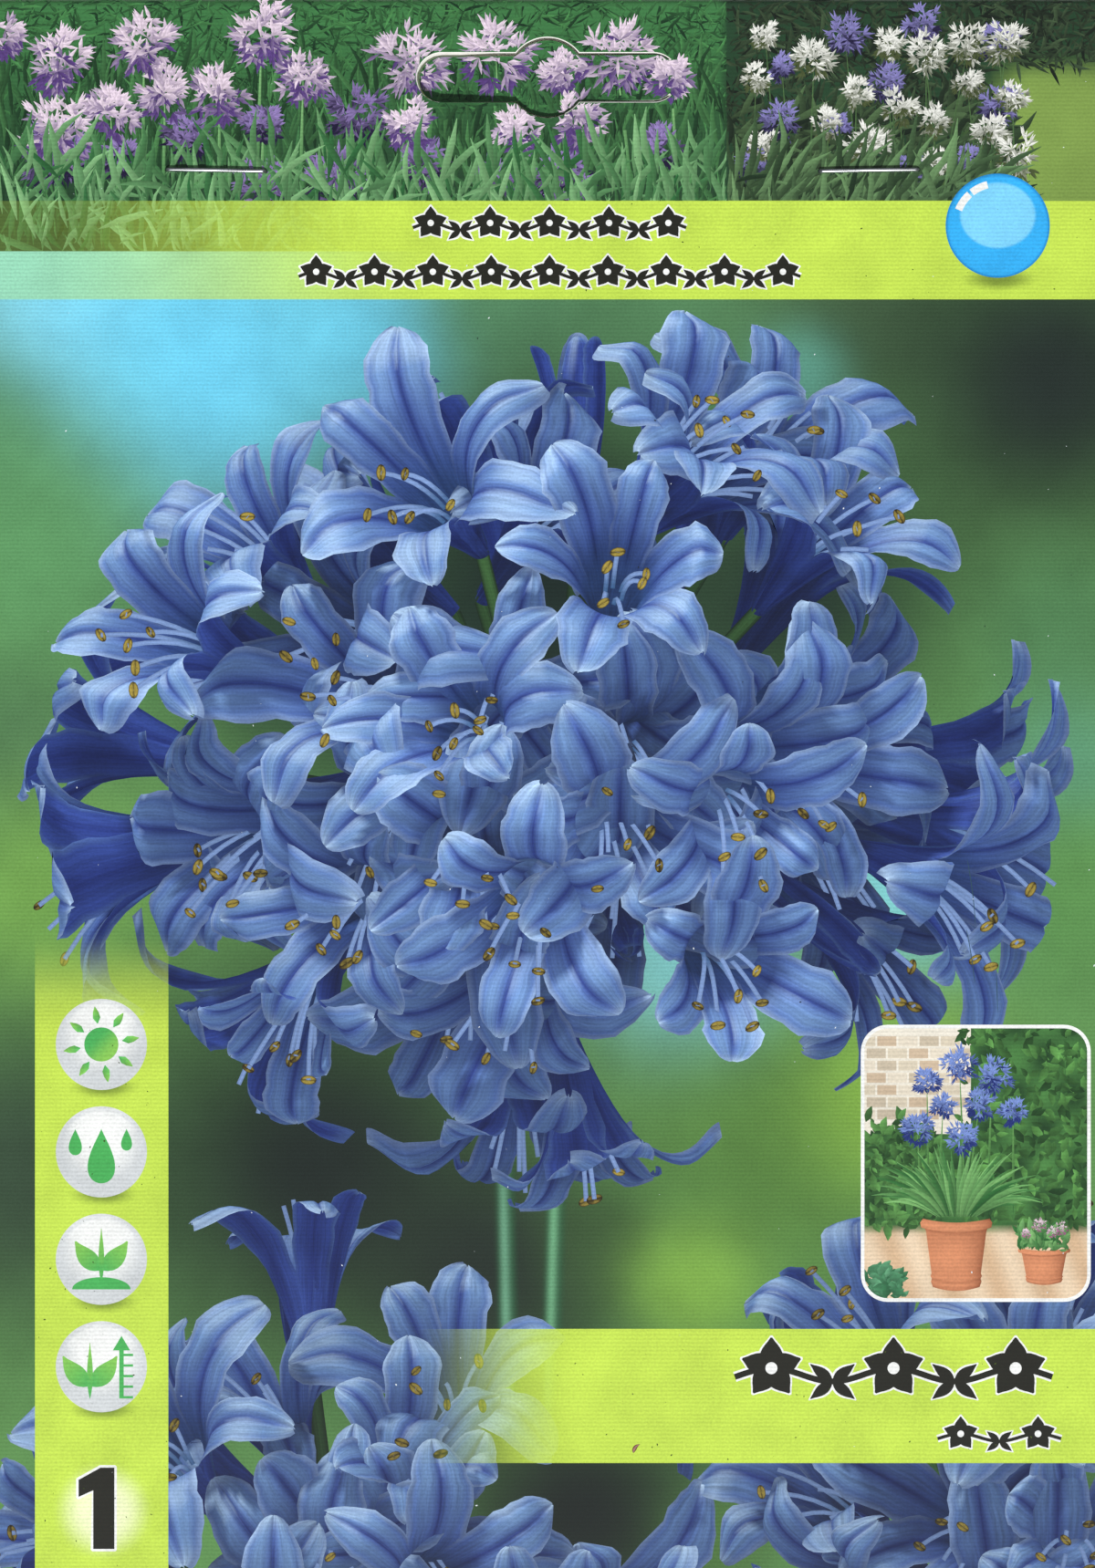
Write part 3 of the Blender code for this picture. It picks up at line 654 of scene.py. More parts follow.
def set_forward(spots, points, cell):
    """Spots moved out to the foremost point round them, and whether each is near enough the front to show.

    The foremost height is looked up in square cells, over the nine cells that surround a spot.
    """
    low = np.minimum(points[:, :2].min(axis=0), spots[:, :2].min(axis=0)) - cell
    place = np.floor((points[:, :2] - low) / cell).astype(int)
    own = np.floor((spots[:, :2] - low) / cell).astype(int)
    size = np.maximum(place.max(axis=0), own.max(axis=0)) + 2
    foremost = np.full(size, -np.inf)
    np.maximum.at(foremost, (place[:, 0], place[:, 1]), points[:, 2])
    round_it = [foremost[own[:, 0] + i, own[:, 1] + j] for i in (-1, 0, 1) for j in (-1, 0, 1)]
    height = np.maximum(np.max(round_it, axis=0), spots[:, 2])
    return np.column_stack([spots[:, :2], height]), height - spots[:, 2] < 4.0


def sky_share(points, cell):
    """The mean of lit_share over ways spread across the half of the sky in front of the picture."""
    total = lit_share(points, np.array([0.0, 0.0, 1.0]), cell, 1.5, 14.0)
    count = 1
    for tilt, steps in ((0.55, 5), (1.05, 7)):
        for turn in 2 * math.pi * np.arange(steps) / steps + tilt:
            way = np.array([math.sin(tilt) * math.cos(turn), math.sin(tilt) * math.sin(turn), math.cos(tilt)])
            weight = 1.0 + 0.6 * way[1]
            total = total + weight * lit_share(points, way, cell, 1.5, 14.0)
            count += weight
    return total / count


def petal_ink(petals, brightness):
    """Ink for tepals: two pale halves beside a dark rib, pale rims, a deep outer side, then light and shade.

    Each point is lit by its share of open sky and, where nothing shades it, by the sun. Shade turns bluer.
    """
    n, k, rows, columns, _ = petals.shape
    s = along_tepal()[:, None]
    t = across_tepal()[None, :]
    flat = petals.reshape(-1, 3)
    normal = np.cross(np.gradient(petals, axis=2), np.gradient(petals, axis=3))
    normal /= np.maximum(np.linalg.norm(normal, axis=-1, keepdims=True), 1e-9)
    outside = smooth_step(0.05, -0.15, normal[..., 2])
    normal = normal * np.where(normal[..., 2:] < 0, -1.0, 1.0)
    facing = normal @ SUNLIGHT
    sky = sky_share(flat, SHADE_CELL).reshape(n, k, rows, columns)
    beam = lit_share(flat, SUNLIGHT, SHADE_CELL, 1.0, 4.0).reshape(n, k, rows, columns)
    half = np.exp(-(((np.abs(t) - 0.5) / 0.38) ** 2)) * smooth_step(0.3, 0.85, s)
    inside = mixed(PETAL_MID, PETAL_LIGHT, np.clip(0.12 + 0.88 * half, 0, 1))
    rim = smooth_step(0.86, 1.0, np.abs(t)) * smooth_step(0.3, 0.6, s) + smooth_step(0.93, 1.0, s) + 0 * t
    inside = mixed(inside, PETAL_PALE, 0.6 * np.clip(rim, 0, 1))
    inside = mixed(inside, PETAL_PALE * 1.15, smooth_step(0.985, 1.0, s) * (np.abs(t) < 0.6))
    rib = np.exp(-((t / 0.1) ** 2)) * smooth_step(0.1, 0.3, s) * (1 - smooth_step(0.84, 0.97, s))
    inside = mixed(inside, PETAL_DEEP, 0.8 * rib)
    inside = mixed(inside, THROAT, 0.7 * (1 - smooth_step(0.25, 0.55, s)) + 0 * t)
    keel = np.clip(0.2 + 0.5 * np.exp(-((t / 0.4) ** 2)) + 0 * s, 0, 1)
    outer = mixed(PETAL_MID * 1.05, PETAL_DEEP, keel)
    outer = mixed(outer, PETAL_LIGHT, 0.5 * np.clip(rim, 0, 1))
    colour = mixed(inside[None, None], outer[None, None], outside)
    light = 0.17 + 0.48 * sky**1.4 + 0.76 * beam * np.maximum(facing, 0.0) ** 1.5 * (0.4 + 0.6 * sky)
    sheen = smooth_step(0.8, 1.0, facing) * beam * smooth_step(0.4, 0.8, s)
    colour = mixed(colour, PETAL_PALE, 0.55 * sheen)
    blue_shade = 1.0 + np.array([-0.12, -0.04, 0.28]) * np.clip(1.0 - light, 0.0, 1.0)[..., None]
    shade = colour * blue_shade * (light * brightness)[..., None]
    shade = mixed(np.broadcast_to(PETAL_NIGHT, shade.shape), shade, smooth_step(0.08, 0.26, light))
    return np.clip(shade, 0.0, 1.0)


def ribbons(lines, width, columns):
    """Flat ribbons along lines, as seen from the front, widened across their run: (line, row, column, 3)."""
    run = np.gradient(lines[..., :2], axis=-2)
    run /= np.maximum(np.linalg.norm(run, axis=-1, keepdims=True), 1e-6)
    across = np.concatenate([-run[..., 1:], run[..., :1], np.zeros_like(run[..., :1])], axis=-1)
    t = np.linspace(-1.0, 1.0, columns)
    width = np.broadcast_to(width, lines.shape[:-1])
    return lines[..., None, :] + across[..., None, :] * (width[..., None] * t)[..., None]


def trimmed(part, left, right, bottom, top):
    """A part kept inside a frame: points past the frame move to it, and faces left with no width go."""
    x, y = part["points"][:, 0] / MM, part["points"][:, 1] / MM
    out = np.stack([x <= left, x >= right, y <= bottom, y >= top], axis=1)
    gone = out[part["faces"]].all(axis=1).any(axis=1)
    points = part["points"].copy()
    points[:, 0] = np.clip(x, left, right) * MM
    points[:, 1] = np.clip(y, bottom, top) * MM
    return {**part, "points": points, "faces": part["faces"][~gone]}


def anthers(lines, ends, draw):
    """Ovals at the ends of filaments, each as three rings of points, and how dark each point is.

    An oval lies about square to the filament's run. A dark seam runs along it, and ripe ones are darker.
    """
    count = len(lines)
    run = (lines[:, -1] - lines[:, -3])[:, :2]
    run = run / np.maximum(np.linalg.norm(run, axis=1, keepdims=True), 1e-6)
    heading = np.arctan2(run[:, 1], run[:, 0]) + math.pi / 2 + draw.normal(0.0, 0.7, count)
    long_way = np.stack([np.cos(heading), np.sin(heading), 0 * heading], axis=1)
    wide_way = np.stack([-long_way[:, 1], long_way[:, 0], 0 * heading], axis=1)
    turn = np.linspace(0, 2 * math.pi, 13)
    size = draw.uniform(0.75, 1.0, count)[:, None, None, None]
    rings = np.array([0.02, 0.7, 1.0])[:, None, None]
    oval = long_way[:, None, None] * np.cos(turn)[:, None]
    oval = oval + wide_way[:, None, None] * (ANTHER_WAIST * np.sin(turn))[:, None]
    seam = np.exp(-((np.sin(turn) / 0.3) ** 2))[None, :] * np.array([1.0, 0.9, 0.3])[:, None]
    ripe = draw.uniform(0.0, 1.0, (count, 1, 1)) ** 1.5 * (0.7 + 0.3 * np.cos(turn * 3 + 1.0))
    dark = np.clip(0.8 * seam + np.array([0.4, 0.0, 0.9])[:, None] + 0.95 * ripe, 0, 1)
    return ends[:, None, None, :] + oval * rings * size, dark


def flower_head(count, seed, stalk, centre, scale, lifts, brightness=1.0, wide=1.0, gaps=()):
    """The parts of one flower head, pressed onto the card between two lifts: stalks, tepals and stamens.

    Its florets stand all round a ball, and some more of them fill its front. A gap is a round place on the
    card, as (x, v, radius), where no floret has its middle and the garden shows.
    """
    draw = np.random.default_rng(seed)
    ways = floret_ways(count, seed)
    n = len(ways)
    buds = draw.random(n) < 0.1
    openness = np.where(buds, draw.uniform(0.0, 0.1, n), np.clip(draw.normal(0.92, 0.1, n), 0.6, 1.0))
    roll = draw.uniform(0.0, 2 * math.pi, n)
    size = draw.uniform(0.95, 1.15, n) * np.where(buds, 0.8, 1.0)
    base = ways * (stalk * draw.uniform(0.62, 1.08, n))[:, None] * (wide, 1.0, 1.0)
    axis = ways + draw.normal(0.0, 0.24, ways.shape) + np.array([0.0, -0.16, 0.05])
    axis /= np.linalg.norm(axis, axis=1, keepdims=True)
    side = np.cross([0.0, 1.0, 0.35], axis)
    side /= np.linalg.norm(side, axis=1, keepdims=True)
    frames = np.stack([side, np.cross(axis, side), axis], axis=1)
    down = -frames[:, :2, 1]
    petals = tepals(openness, roll, draw) * size[:, None, None, None, None]
    middle = (base + FLORET_MIDDLE * size[:, None] * axis)[:, :2] * scale + centre
    kept = np.full(n, True)
    for x, v, radius in gaps:
        kept &= np.hypot(middle[:, 0] - x, middle[:, 1] - v) > radius
    n = kept.sum()
    petals, base, frames, down = petals[kept], base[kept], frames[kept], down[kept]
    roll, size, buds = roll[kept], size[kept], buds[kept]
    petals = np.einsum("nkrcj,nji->nkrci", petals, frames) + base[:, None, None, None, :]
    lines = stamens(roll, down)[~buds] * size[~buds, None, None, None]
    lines = np.einsum("nkrj,nji->nkri", lines, frames[~buds]) + base[~buds, None, None, :]
    lines = lines.reshape(-1, 7, 3)
    share = np.linspace(0.0, 1.0, 8)
    bow = np.sin(share * math.pi)[:, None] * np.array([0.0, -1.5, 0.0])
    stalks = base[:, None, :] * (0.1 + 0.9 * share[None, :, None]) + bow
    deepest, foremost = petals[..., 2].min(), petals[..., 2].max() + 2.0

    def pressed(points, ahead=0.0):
        """Places on the card: what lies further forward in the head is a higher layer of ink."""
        flat = points.reshape(-1, 3)
        part = np.clip((flat[:, 2] + ahead - deepest) / (foremost - deepest), 0.0, 1.0)
        lift = lifts[0] + (lifts[1] - lifts[0]) * part
        return on_card(centre[0] + flat[:, 0] * scale, centre[1] + flat[:, 1] * scale, lift)

    glow = np.clip(brightness * (0.45 + 0.55 * sky_share(lines[:, -1], 6.0)), 0, 1)[:, None, None, None]
    around = 1.0 - np.linspace(-1, 1, 5) ** 2
    front = smooth_step(0.0, 34.0, stalks[..., 2])[..., None]
    green = mixed(STALK_DARK, STALK, around * (0.2 + 0.8 * front)) * brightness
    parts = [grid_part(pressed(ribbons(stalks, STALK_HALF, 5)), 8, 5, n, green)]
    parts.append(grid_part(pressed(petals), ROWS, COLUMNS, n * 6, petal_ink(petals, brightness)))
    pale = mixed(THROAT, FILAMENT, smooth_step(0.0, 0.6, np.linspace(0, 1, 7))[:, None] + np.zeros(3))
    ink = pale * glow * np.array([0.75, 1.0, 0.8])[:, None]
    parts.append(grid_part(pressed(ribbons(lines, FILAMENT_HALF, 3), 0.6), 7, 3, len(lines), ink))
    ends, seen = set_forward(lines[:, -1], petals.reshape(-1, 3), 1.0)
    points, dark = anthers(lines, ends, draw)
    ink = mixed(ANTHER, ANTHER_DARK, dark) * glow
    parts.append(grid_part(pressed(points[seen], 0.5), 3, 13, int(seen.sum()), ink[seen]))
    return [trimmed(part, LEFT, RIGHT, BOTTOM, PICTURE_Y + 0.5) for part in parts]


# Places where no floret has its middle: x, v and radius of each.
GAPS = ((-32.0, -43.5, 6.0), (12.5, -45.0, 5.9), (37.0, -29.3, 3.0))
add_piece(
    "print_flower_head",
    flower_head(72, 13, 31.5, (0.4, -0.4), 1.07, (0.12, 0.36), wide=1.18, gaps=GAPS),
    VEINED,
    flat=1,
)
LOW_GAPS = ((13.0, -90.0, 11.0), (22.0, -83.0, 3.0), (-4.0, -68.0, 4.0))
add_piece(
    "print_lower_heads",
    flower_head(46, 21, 30.0, (-24.0, -106.0), 1.05, (0.03, 0.11), 0.77, gaps=LOW_GAPS)
    + flower_head(46, 33, 30.0, (58.0, -103.0), 1.05, (0.03, 0.11), 0.7, gaps=LOW_GAPS),
    VEINED,
    flat=1,
)


# The strip of small garden pictures along the top, offset printed on the front panel and the slot's tongue: a
# lilac border on the left and a white one beside a lawn on the right, made of small leaves and petals of ink.


def blades(x, y, angle, length, width, bend, root_ink, tip_ink, lift, rows=4, fold=0.22):
    """Narrow leaves or petals, one for each root, as parts of like grids.

    A middle line leaves the root at its angle and turns by bend along its length. The half width follows a
    sine arch, and one half is lighter than the other by fold, as a folded leaf is.
    """
    n = len(x)
    s = np.linspace(0.0, 1.0, rows)
    heading = angle[:, None] + bend[:, None] * s
    step = (np.broadcast_to(length, n) / (rows - 1))[:, None]
    run = np.cumsum(np.stack([np.cos(heading), np.sin(heading)], axis=-1) * step[..., None], axis=1)
    run = np.concatenate([np.zeros((n, 1, 2)), run[:, :-1]], axis=1)
    half = np.broadcast_to(width, n)[:, None] * np.maximum(np.sin(math.pi * s**0.8), 0.08) / 2
    t = np.array([-1.0, 0.0, 1.0])
    side = half[..., None] * t
    leaf_x = x[:, None, None] + run[..., 0, None] - np.sin(heading)[..., None] * side
    leaf_y = y[:, None, None] + run[..., 1, None] + np.cos(heading)[..., None] * side
    along = np.broadcast_to(s[None, :, None], leaf_x.shape)
    root_ink = np.broadcast_to(root_ink, (n, 3))[:, None, None]
    tip_ink = np.broadcast_to(tip_ink, (n, 3))[:, None, None]
    ink = (root_ink + (tip_ink - root_ink) * along[..., None]) * (1.0 + fold * t)[:, None]
    lift = np.broadcast_to(np.broadcast_to(lift, n)[:, None, None], leaf_x.shape)
    points = on_card(leaf_x.ravel(), leaf_y.ravel(), lift.ravel())
    return grid_part(points, rows, 3, n, np.clip(ink, 0, 1))


def leafage(seed, count, left, right, bottom, top, length, slope, spread, inks, lifts, width=0.16):
    """Leaves strewn over a box of the card. slope is their mean heading, and each takes a mix of the inks."""
    draw = np.random.default_rng(seed)
    x, y = draw.uniform(left, right, count), draw.uniform(bottom, top, count)
    angle = slope + draw.normal(0.0, spread, count)
    size = length * draw.uniform(0.5, 1.3, count)
    rank = np.linspace(0.0, 1.0, count)
    tone = mixed(linear(inks[0]), linear(inks[1]), draw.random(count) * (0.3 + 0.7 * rank))
    lift = lifts[0] + (lifts[1] - lifts[0]) * rank
    return blades(x, y, angle, size, size * width, draw.normal(0.0, 0.5, count), tone * 0.55, tone, lift)


def small_heads(seed, places, radius, florets, inks, lift):
    """Round flower heads seen from afar: petals that point away from each head's middle, in a half ball."""
    draw = np.random.default_rng(seed)
    places = np.array(places)
    n = len(places)
    petals = 5
    way = draw.normal(0.0, 1.0, (n, florets, 3))
    way /= np.linalg.norm(way, axis=-1, keepdims=True)
    way[..., 2] = np.abs(way[..., 2]) + 0.3
    way /= np.linalg.norm(way, axis=-1, keepdims=True)
    way = np.take_along_axis(way, np.argsort(way[..., 2], axis=1)[..., None], axis=1)
    size = radius * draw.uniform(0.7, 1.2, n)[:, None]
    loose = draw.uniform(0.5, 0.85, way.shape[:2])
    x = places[:, :1] + way[..., 0] * size * loose
    y = places[:, 1:2] + way[..., 1] * size * loose
    outward = np.arctan2(way[..., 1], way[..., 0])
    stray = draw.normal(0.0, 1.0, (n, florets, petals)) * (0.45 + 2.0 * way[..., 2:] ** 3)
    angle = outward[..., None] + stray
    light = 0.3 + 0.45 * way[..., 1] + 0.3 * way[..., 2] + draw.normal(0, 0.3, (n, florets))
    light = light[..., None] + 0.28 * np.sin(angle) + draw.normal(0, 0.12, angle.shape)
    tone = mixed(linear(inks[0]), linear(inks[1]), np.clip(light, 0, 1)).reshape(-1, 3)
    rank = np.broadcast_to(np.linspace(0, 0.03, florets)[None, :, None], angle.shape)
    rank = rank + np.arange(n)[:, None, None] * 0.0004 + np.arange(petals) * 0.00008
    x = np.broadcast_to(x[..., None], angle.shape).ravel()
    y = np.broadcast_to(y[..., None], angle.shape).ravel()
    long = np.broadcast_to((size * 0.42)[..., None], angle.shape).ravel()
    long = long * draw.uniform(0.6, 1.25, angle.size)
    wide = size.mean() * 0.12
    return blades(x, y, angle.ravel(), long, wide, 0.0 * x, tone * 0.6, tone, lift + rank.ravel(), rows=3)


def stems(seed, places, low, width, inks, lift):
    """Upright stems under small flower heads, from each head down to a low line."""
    draw = np.random.default_rng(seed)
    places = np.array(places)
    n = len(places)
    long = places[:, 1] - low
    lean = math.pi / 2 + draw.normal(0.0, 0.06, n)
    x = places[:, 0] - np.cos(lean) * long
    tone = linear(inks[1])
    return blades(x, np.full(n, low), lean, long, width, 0.0 * x, linear(inks[0]), tone, lift, rows=5)


def scattered(seed, count, left, right, bottom, top, apart):
    """Places drawn at random in a box, each kept only if it lies far enough from those before it."""
    draw = np.random.default_rng(seed)
    kept = []
    for x, y in zip(draw.uniform(left, right, count), draw.uniform(bottom, top, count)):
        if all(math.hypot(x - a, y - b) > apart for a, b in kept):
            kept.append((x, y))
    return kept


LILAC_HEADS = scattered(3, 90, LEFT, SPLIT_X - 3, 80.0, 93.0, 6.3)
VIOLET_HEADS = scattered(4, 60, LEFT, SPLIT_X - 3, 73.5, 83.0, 7.5)
WHITE_HEADS = scattered(5, 90, SPLIT_X + 3, 58.0, 76.0, 92.0, 4.4)
BLUE_HEADS = scattered(6, 30, SPLIT_X + 3, 56.0, 75.0, 94.0, 6.0)
LEFT_PICTURE = (LEFT, SPLIT_X, BAND_Y, TOP - 0.15)
RIGHT_PICTURE = (SPLIT_X, RIGHT, BAND_Y, TOP - 0.15)
LOW_Y = BAND_Y - 2.0
UP = math.pi / 2
left_border = [
    leafage(1, 2400, LEFT, SPLIT_X, 82.0, TOP, 2.6, 0.6, 1.2, ("#163A22", "#569C58"), (0.03, 0.08), 0.13),
    leafage(2, 1300, LEFT, SPLIT_X, BAND_Y, 86.0, 6.0, UP, 0.25, ("#173A22", "#5A9A5A"), (0.08, 0.11), 0.09),
    stems(3, VIOLET_HEADS + LILAC_HEADS, STRIP_Y, 0.4, ("#2E6A38", "#8CC27E"), 0.115),
    small_heads(7, VIOLET_HEADS, 3.9, 40, ("#20183C", "#9C86C4"), 0.12),
    small_heads(8, LILAC_HEADS, 4.3, 44, ("#5F4486", "#FBE6F6"), 0.16),
    leafage(9, 620, LEFT, SPLIT_X, LOW_Y, 76.0, 6.5, UP, 0.5, ("#2A6A38", "#98D090"), (0.21, 0.24), 0.12),
]
right_border = [
    leafage(11, 1100, SPLIT_X, 53.0, 80.0, TOP, 2.6, 0.6, 1.4, ("#131F16", "#4A6242"), (0.03, 0.08)),
    leafage(17, 420, 52.0, RIGHT, 88.5, TOP, 2.6, 0.6, 1.4, ("#131F16", "#4A6242"), (0.03, 0.08)),
    leafage(12, 700, SPLIT_X, 56.0, BAND_Y, 82.0, 5.0, 0.6, 0.6, ("#18281B", "#5D7C50"), (0.08, 0.11)),
    stems(13, WHITE_HEADS + BLUE_HEADS, STRIP_Y, 0.22, ("#1F3A22", "#587A48"), 0.115),
    small_heads(14, BLUE_HEADS, 2.5, 36, ("#241E44", "#958FD0"), 0.12),
    small_heads(15, WHITE_HEADS, 2.8, 38, ("#4E5A34", "#FFFFF6"), 0.16),
    leafage(16, 420, SPLIT_X, 54.0, LOW_Y, 74.0, 7.5, 0.9, 0.5, ("#1E3620", "#7CA66E"), (0.21, 0.24), 0.1),
]
add_piece(
    "print_garden_strip",
    [with_slot(trimmed(part, *LEFT_PICTURE)) for part in left_border]
    + [with_slot(trimmed(part, *RIGHT_PICTURE)) for part in right_border],
    UNDER_LIME,
    flat=1,
)


# The signs printed over the picture: a plain glossy ball, four white buttons with care signs, a number, and
# garlands of star flowers on the stripes. All are flat ink, printed one layer over another.

TOP_LIFT = 0.38
SIGN_GREEN = linear("#4DB35C")
SIGN_YOUNG = linear("#8CCB58")
SIGN_DARK = linear("#23231C")
WHITE = linear("#F6F7F4")
LIME_INK = linear(LIME)


def flat_shape(outline, lift, ink):
    """A flat shape inside a closed outline of (x, v) points, filled by Delaunay triangles."""
    outline = np.array(outline)
    count = len(outline)
    edges = [(i, (i + 1) % count) for i in range(count)]
    placed, _, faces, *_ = geometry.delaunay_2d_cdt(outline.tolist(), edges, [], 1, 1e-6)
    placed = np.array([tuple(point) for point in placed])
    low, size = placed.min(axis=0), np.ptp(placed, axis=0)
    return {
        "points": on_card(placed[:, 0], placed[:, 1], lift),
        "faces": np.array(faces),
        "ink": np.broadcast_to(ink, (len(placed), 3)),
        "shape": (placed - low) / size,
        "copies": 1,
    }


def round_shape(centre, radius, lift, ink_at, stretch=1.0, rings=12, sides=48, inner=0.001, arc=(0.0, 360.0)):
    """A disc, oval, ring or arc band as a polar grid. ink_at gives its ink from shares of the radius."""
    turn = np.radians(np.linspace(*arc, sides + 1))
    share, turn = np.meshgrid(np.linspace(inner, 1.0, rings), turn, indexing="ij")
    dx, dy = share * np.cos(turn), share * np.sin(turn)
    points = on_card((centre[0] + dx * radius).ravel(), (centre[1] + dy * radius * stretch).ravel(), lift)
    ink = ink_at(dx, dy) if callable(ink_at) else ink_at
    return grid_part(points, rings, sides + 1, 1, ink)


def shade_ink(dx, dy):
    """Dark lime that fades to the lime's own ink at the rim."""
    return mixed(LIME_INK, linear("#6F8530"), 0.85 * (1 - smooth_step(0.2, 1.0, np.hypot(dx, dy))))


def shadow_under(centre, radius, stretch):
    """A soft dark oval on the lime, printed under a sign as its shadow."""
    return round_shape(centre, radius, TOP_LIFT, shade_ink, stretch)


def button_ink(dx, dy):
    """White that greys towards the lower rim, with a paler arc above, as on a glossy button."""
    grey = mixed(WHITE, linear("#C6CBCE"), 0.8 * smooth_step(0.35, 1.0, np.hypot(dx, dy - 0.25)))
    return mixed(grey, WHITE, 0.6 * smooth_step(0.1, 0.35, dy - 0.35 * np.abs(dx)) * (np.hypot(dx, dy) < 0.9))


def ball_ink(dx, dy):
    """Deep sky blue with a paler cap above its middle and a darker rim."""
    cap = smooth_step(0.03, -0.03, np.hypot(dx, (dy - 0.2) * 1.15) - 0.72)
    blue = mixed(linear("#35B2F6"), linear("#7FD4FC"), cap)
    return mixed(blue, linear("#1B86CC"), smooth_step(0.93, 1.0, np.hypot(dx, dy)))


def sprout(x, y, size, lift):
    """A stem with two leaves, as one set of blades."""
    roots = np.full(3, y) + np.array([0.0, 0.25, 0.25]) * size
    angle = np.radians([90.0, 35.0, 145.0])
    long = size * np.array([1.1, 0.8, 0.8])
    wide = size * np.array([0.12, 0.38, 0.38])
    bend = np.array([0, 0.5, -0.5])
    inks = (SIGN_GREEN, SIGN_YOUNG)
    return blades(np.full(3, x), roots, angle, long, wide, bend, *inks, lift, rows=10, fold=0.0)


BALL = (55.3, 68.6)
BALL_RADIUS = 6.4
signs = [
    shadow_under((BALL[0] + 0.2, BALL[1] - 6.6), 5.4, 0.3),
    round_shape(BALL, BALL_RADIUS, TOP_LIFT + 0.005, ball_ink, rings=40, sides=96),
]
GLINT = {"rings": 2, "sides": 12, "inner": 0.84}
for arc in ((104.0, 128.0), (132.0, 158.0)):
    signs.append(round_shape(BALL, BALL_RADIUS * 0.88, TOP_LIFT + 0.01, WHITE, arc=arc, **GLINT))

BUTTON_X = sum(COLUMN_X) / 2
BUTTON_RADIUS = 5.6
BUTTONS_Y = (-32.0, -45.2, -58.4, -71.6)
for y in BUTTONS_Y:
    signs.append(shadow_under((BUTTON_X + 0.3, y - 5.2), 4.8, 0.34))
    signs.append(round_shape((BUTTON_X, y), BUTTON_RADIUS, TOP_LIFT + 0.005, button_ink, rings=24, sides=64))


def sun_ink(dx, dy):
    """Green that is younger towards the lower right."""
    return mixed(SIGN_GREEN, SIGN_YOUNG, smooth_step(-0.8, 1.2, dx - dy))


LAYER = TOP_LIFT + 0.012
x, y = BUTTON_X, BUTTONS_Y[0]
signs.append(round_shape((x, y), 2.1, LAYER, sun_ink, rings=6))
rays = np.radians(np.arange(0, 360, 45) + 10.0)
ray_x, ray_y = x + 2.6 * np.cos(rays), y + 2.6 * np.sin(rays)
signs.append(blades(ray_x, ray_y, rays, 2.1, 0.95, 0 * rays, SIGN_GREEN, SIGN_YOUNG, LAYER))
y = BUTTONS_Y[1]
turn = np.linspace(0, 2 * math.pi, 40, endpoint=False)
drop = np.stack([1.9 * np.sin(turn) * np.sin(turn / 2) ** 1.4, 2.7 * np.cos(turn)], axis=1)
for dx, dy, size in ((0.0, -0.5, 1.25), (-3.2, 1.2, 0.6), (3.1, 1.5, 0.5)):
    signs.append(flat_shape(drop * size + (x + dx, y + dy), LAYER, SIGN_GREEN))
y = BUTTONS_Y[2]
rise = np.radians(np.linspace(0, 180, 25))
mound = np.stack([x + 3.6 * np.cos(rise), y - 3.7 + 1.5 * np.sin(rise)], axis=1)
signs.append(flat_shape(mound, LAYER, SIGN_GREEN))
signs.append(sprout(x, y - 2.8, 6.0, LAYER + 0.004))
y = BUTTONS_Y[3]
signs.append(sprout(x - 1.4, y - 3.9, 6.2, LAYER))


def bar(left, right, bottom, top):
    """A green upright rectangle on the last button."""
    corners = [(left, bottom), (right, bottom), (right, top), (left, top)]
    signs.append(flat_shape(np.array(corners) + (x, y), LAYER, SIGN_GREEN))


bar(2.2, 2.75, -3.9, 2.0)
signs.append(flat_shape([(x + 1.4, y + 2.0), (x + 3.55, y + 2.0), (x + 2.475, y + 3.8)], LAYER, SIGN_GREEN))
for tick in range(5):
    bar(2.75, 3.9, -3.9 + tick * 1.3, -3.6 + tick * 1.3)

NUMBER = np.array([(-0.4, -5.0), (2.2, -5.0), (2.2, 5.0), (0.5, 5.0), (-2.2, 3.5), (-2.2, 1.4), (-0.4, 2.2)])
NUMBER_PLACE = (-55.4, -89.0)


def grown(outline, width, steps=9):
    """An outline moved out by width: each outer corner becomes an arc about it, each inner one a point."""
    outline = np.array(outline)
    before, after = np.roll(outline, 1, axis=0), np.roll(outline, -1, axis=0)
    grown_points = []
    for here, prior, later in zip(outline, before, after):
        first = math.atan2(*(here - prior)[::-1]) - math.pi / 2
        second = math.atan2(*(later - here)[::-1]) - math.pi / 2
        sweep = (second - first + math.pi) % (2 * math.pi) - math.pi
        turns = [first + sweep / 2] if sweep < 0 else np.linspace(first, first + sweep, steps)
        grown_points += [here + width * np.array([math.cos(angle), math.sin(angle)]) for angle in turns]
    return np.array(grown_points)


def halo_ink(dx, dy):
    """Pale light on the lime that fades out to its own ink at the rim."""
    return mixed(LIME_INK, linear("#F4FBC8"), 1 - smooth_step(0.35, 0.98, np.hypot(dx, dy)))


signs.append(round_shape((NUMBER_PLACE[0] + 0.8, NUMBER_PLACE[1] - 0.3), 6.4, TOP_LIFT - 0.01, halo_ink))
signs.append(flat_shape(grown(NUMBER, 0.3) + NUMBER_PLACE, TOP_LIFT, WHITE))
signs.append(flat_shape(NUMBER + NUMBER_PLACE, TOP_LIFT + 0.008, SIGN_DARK))


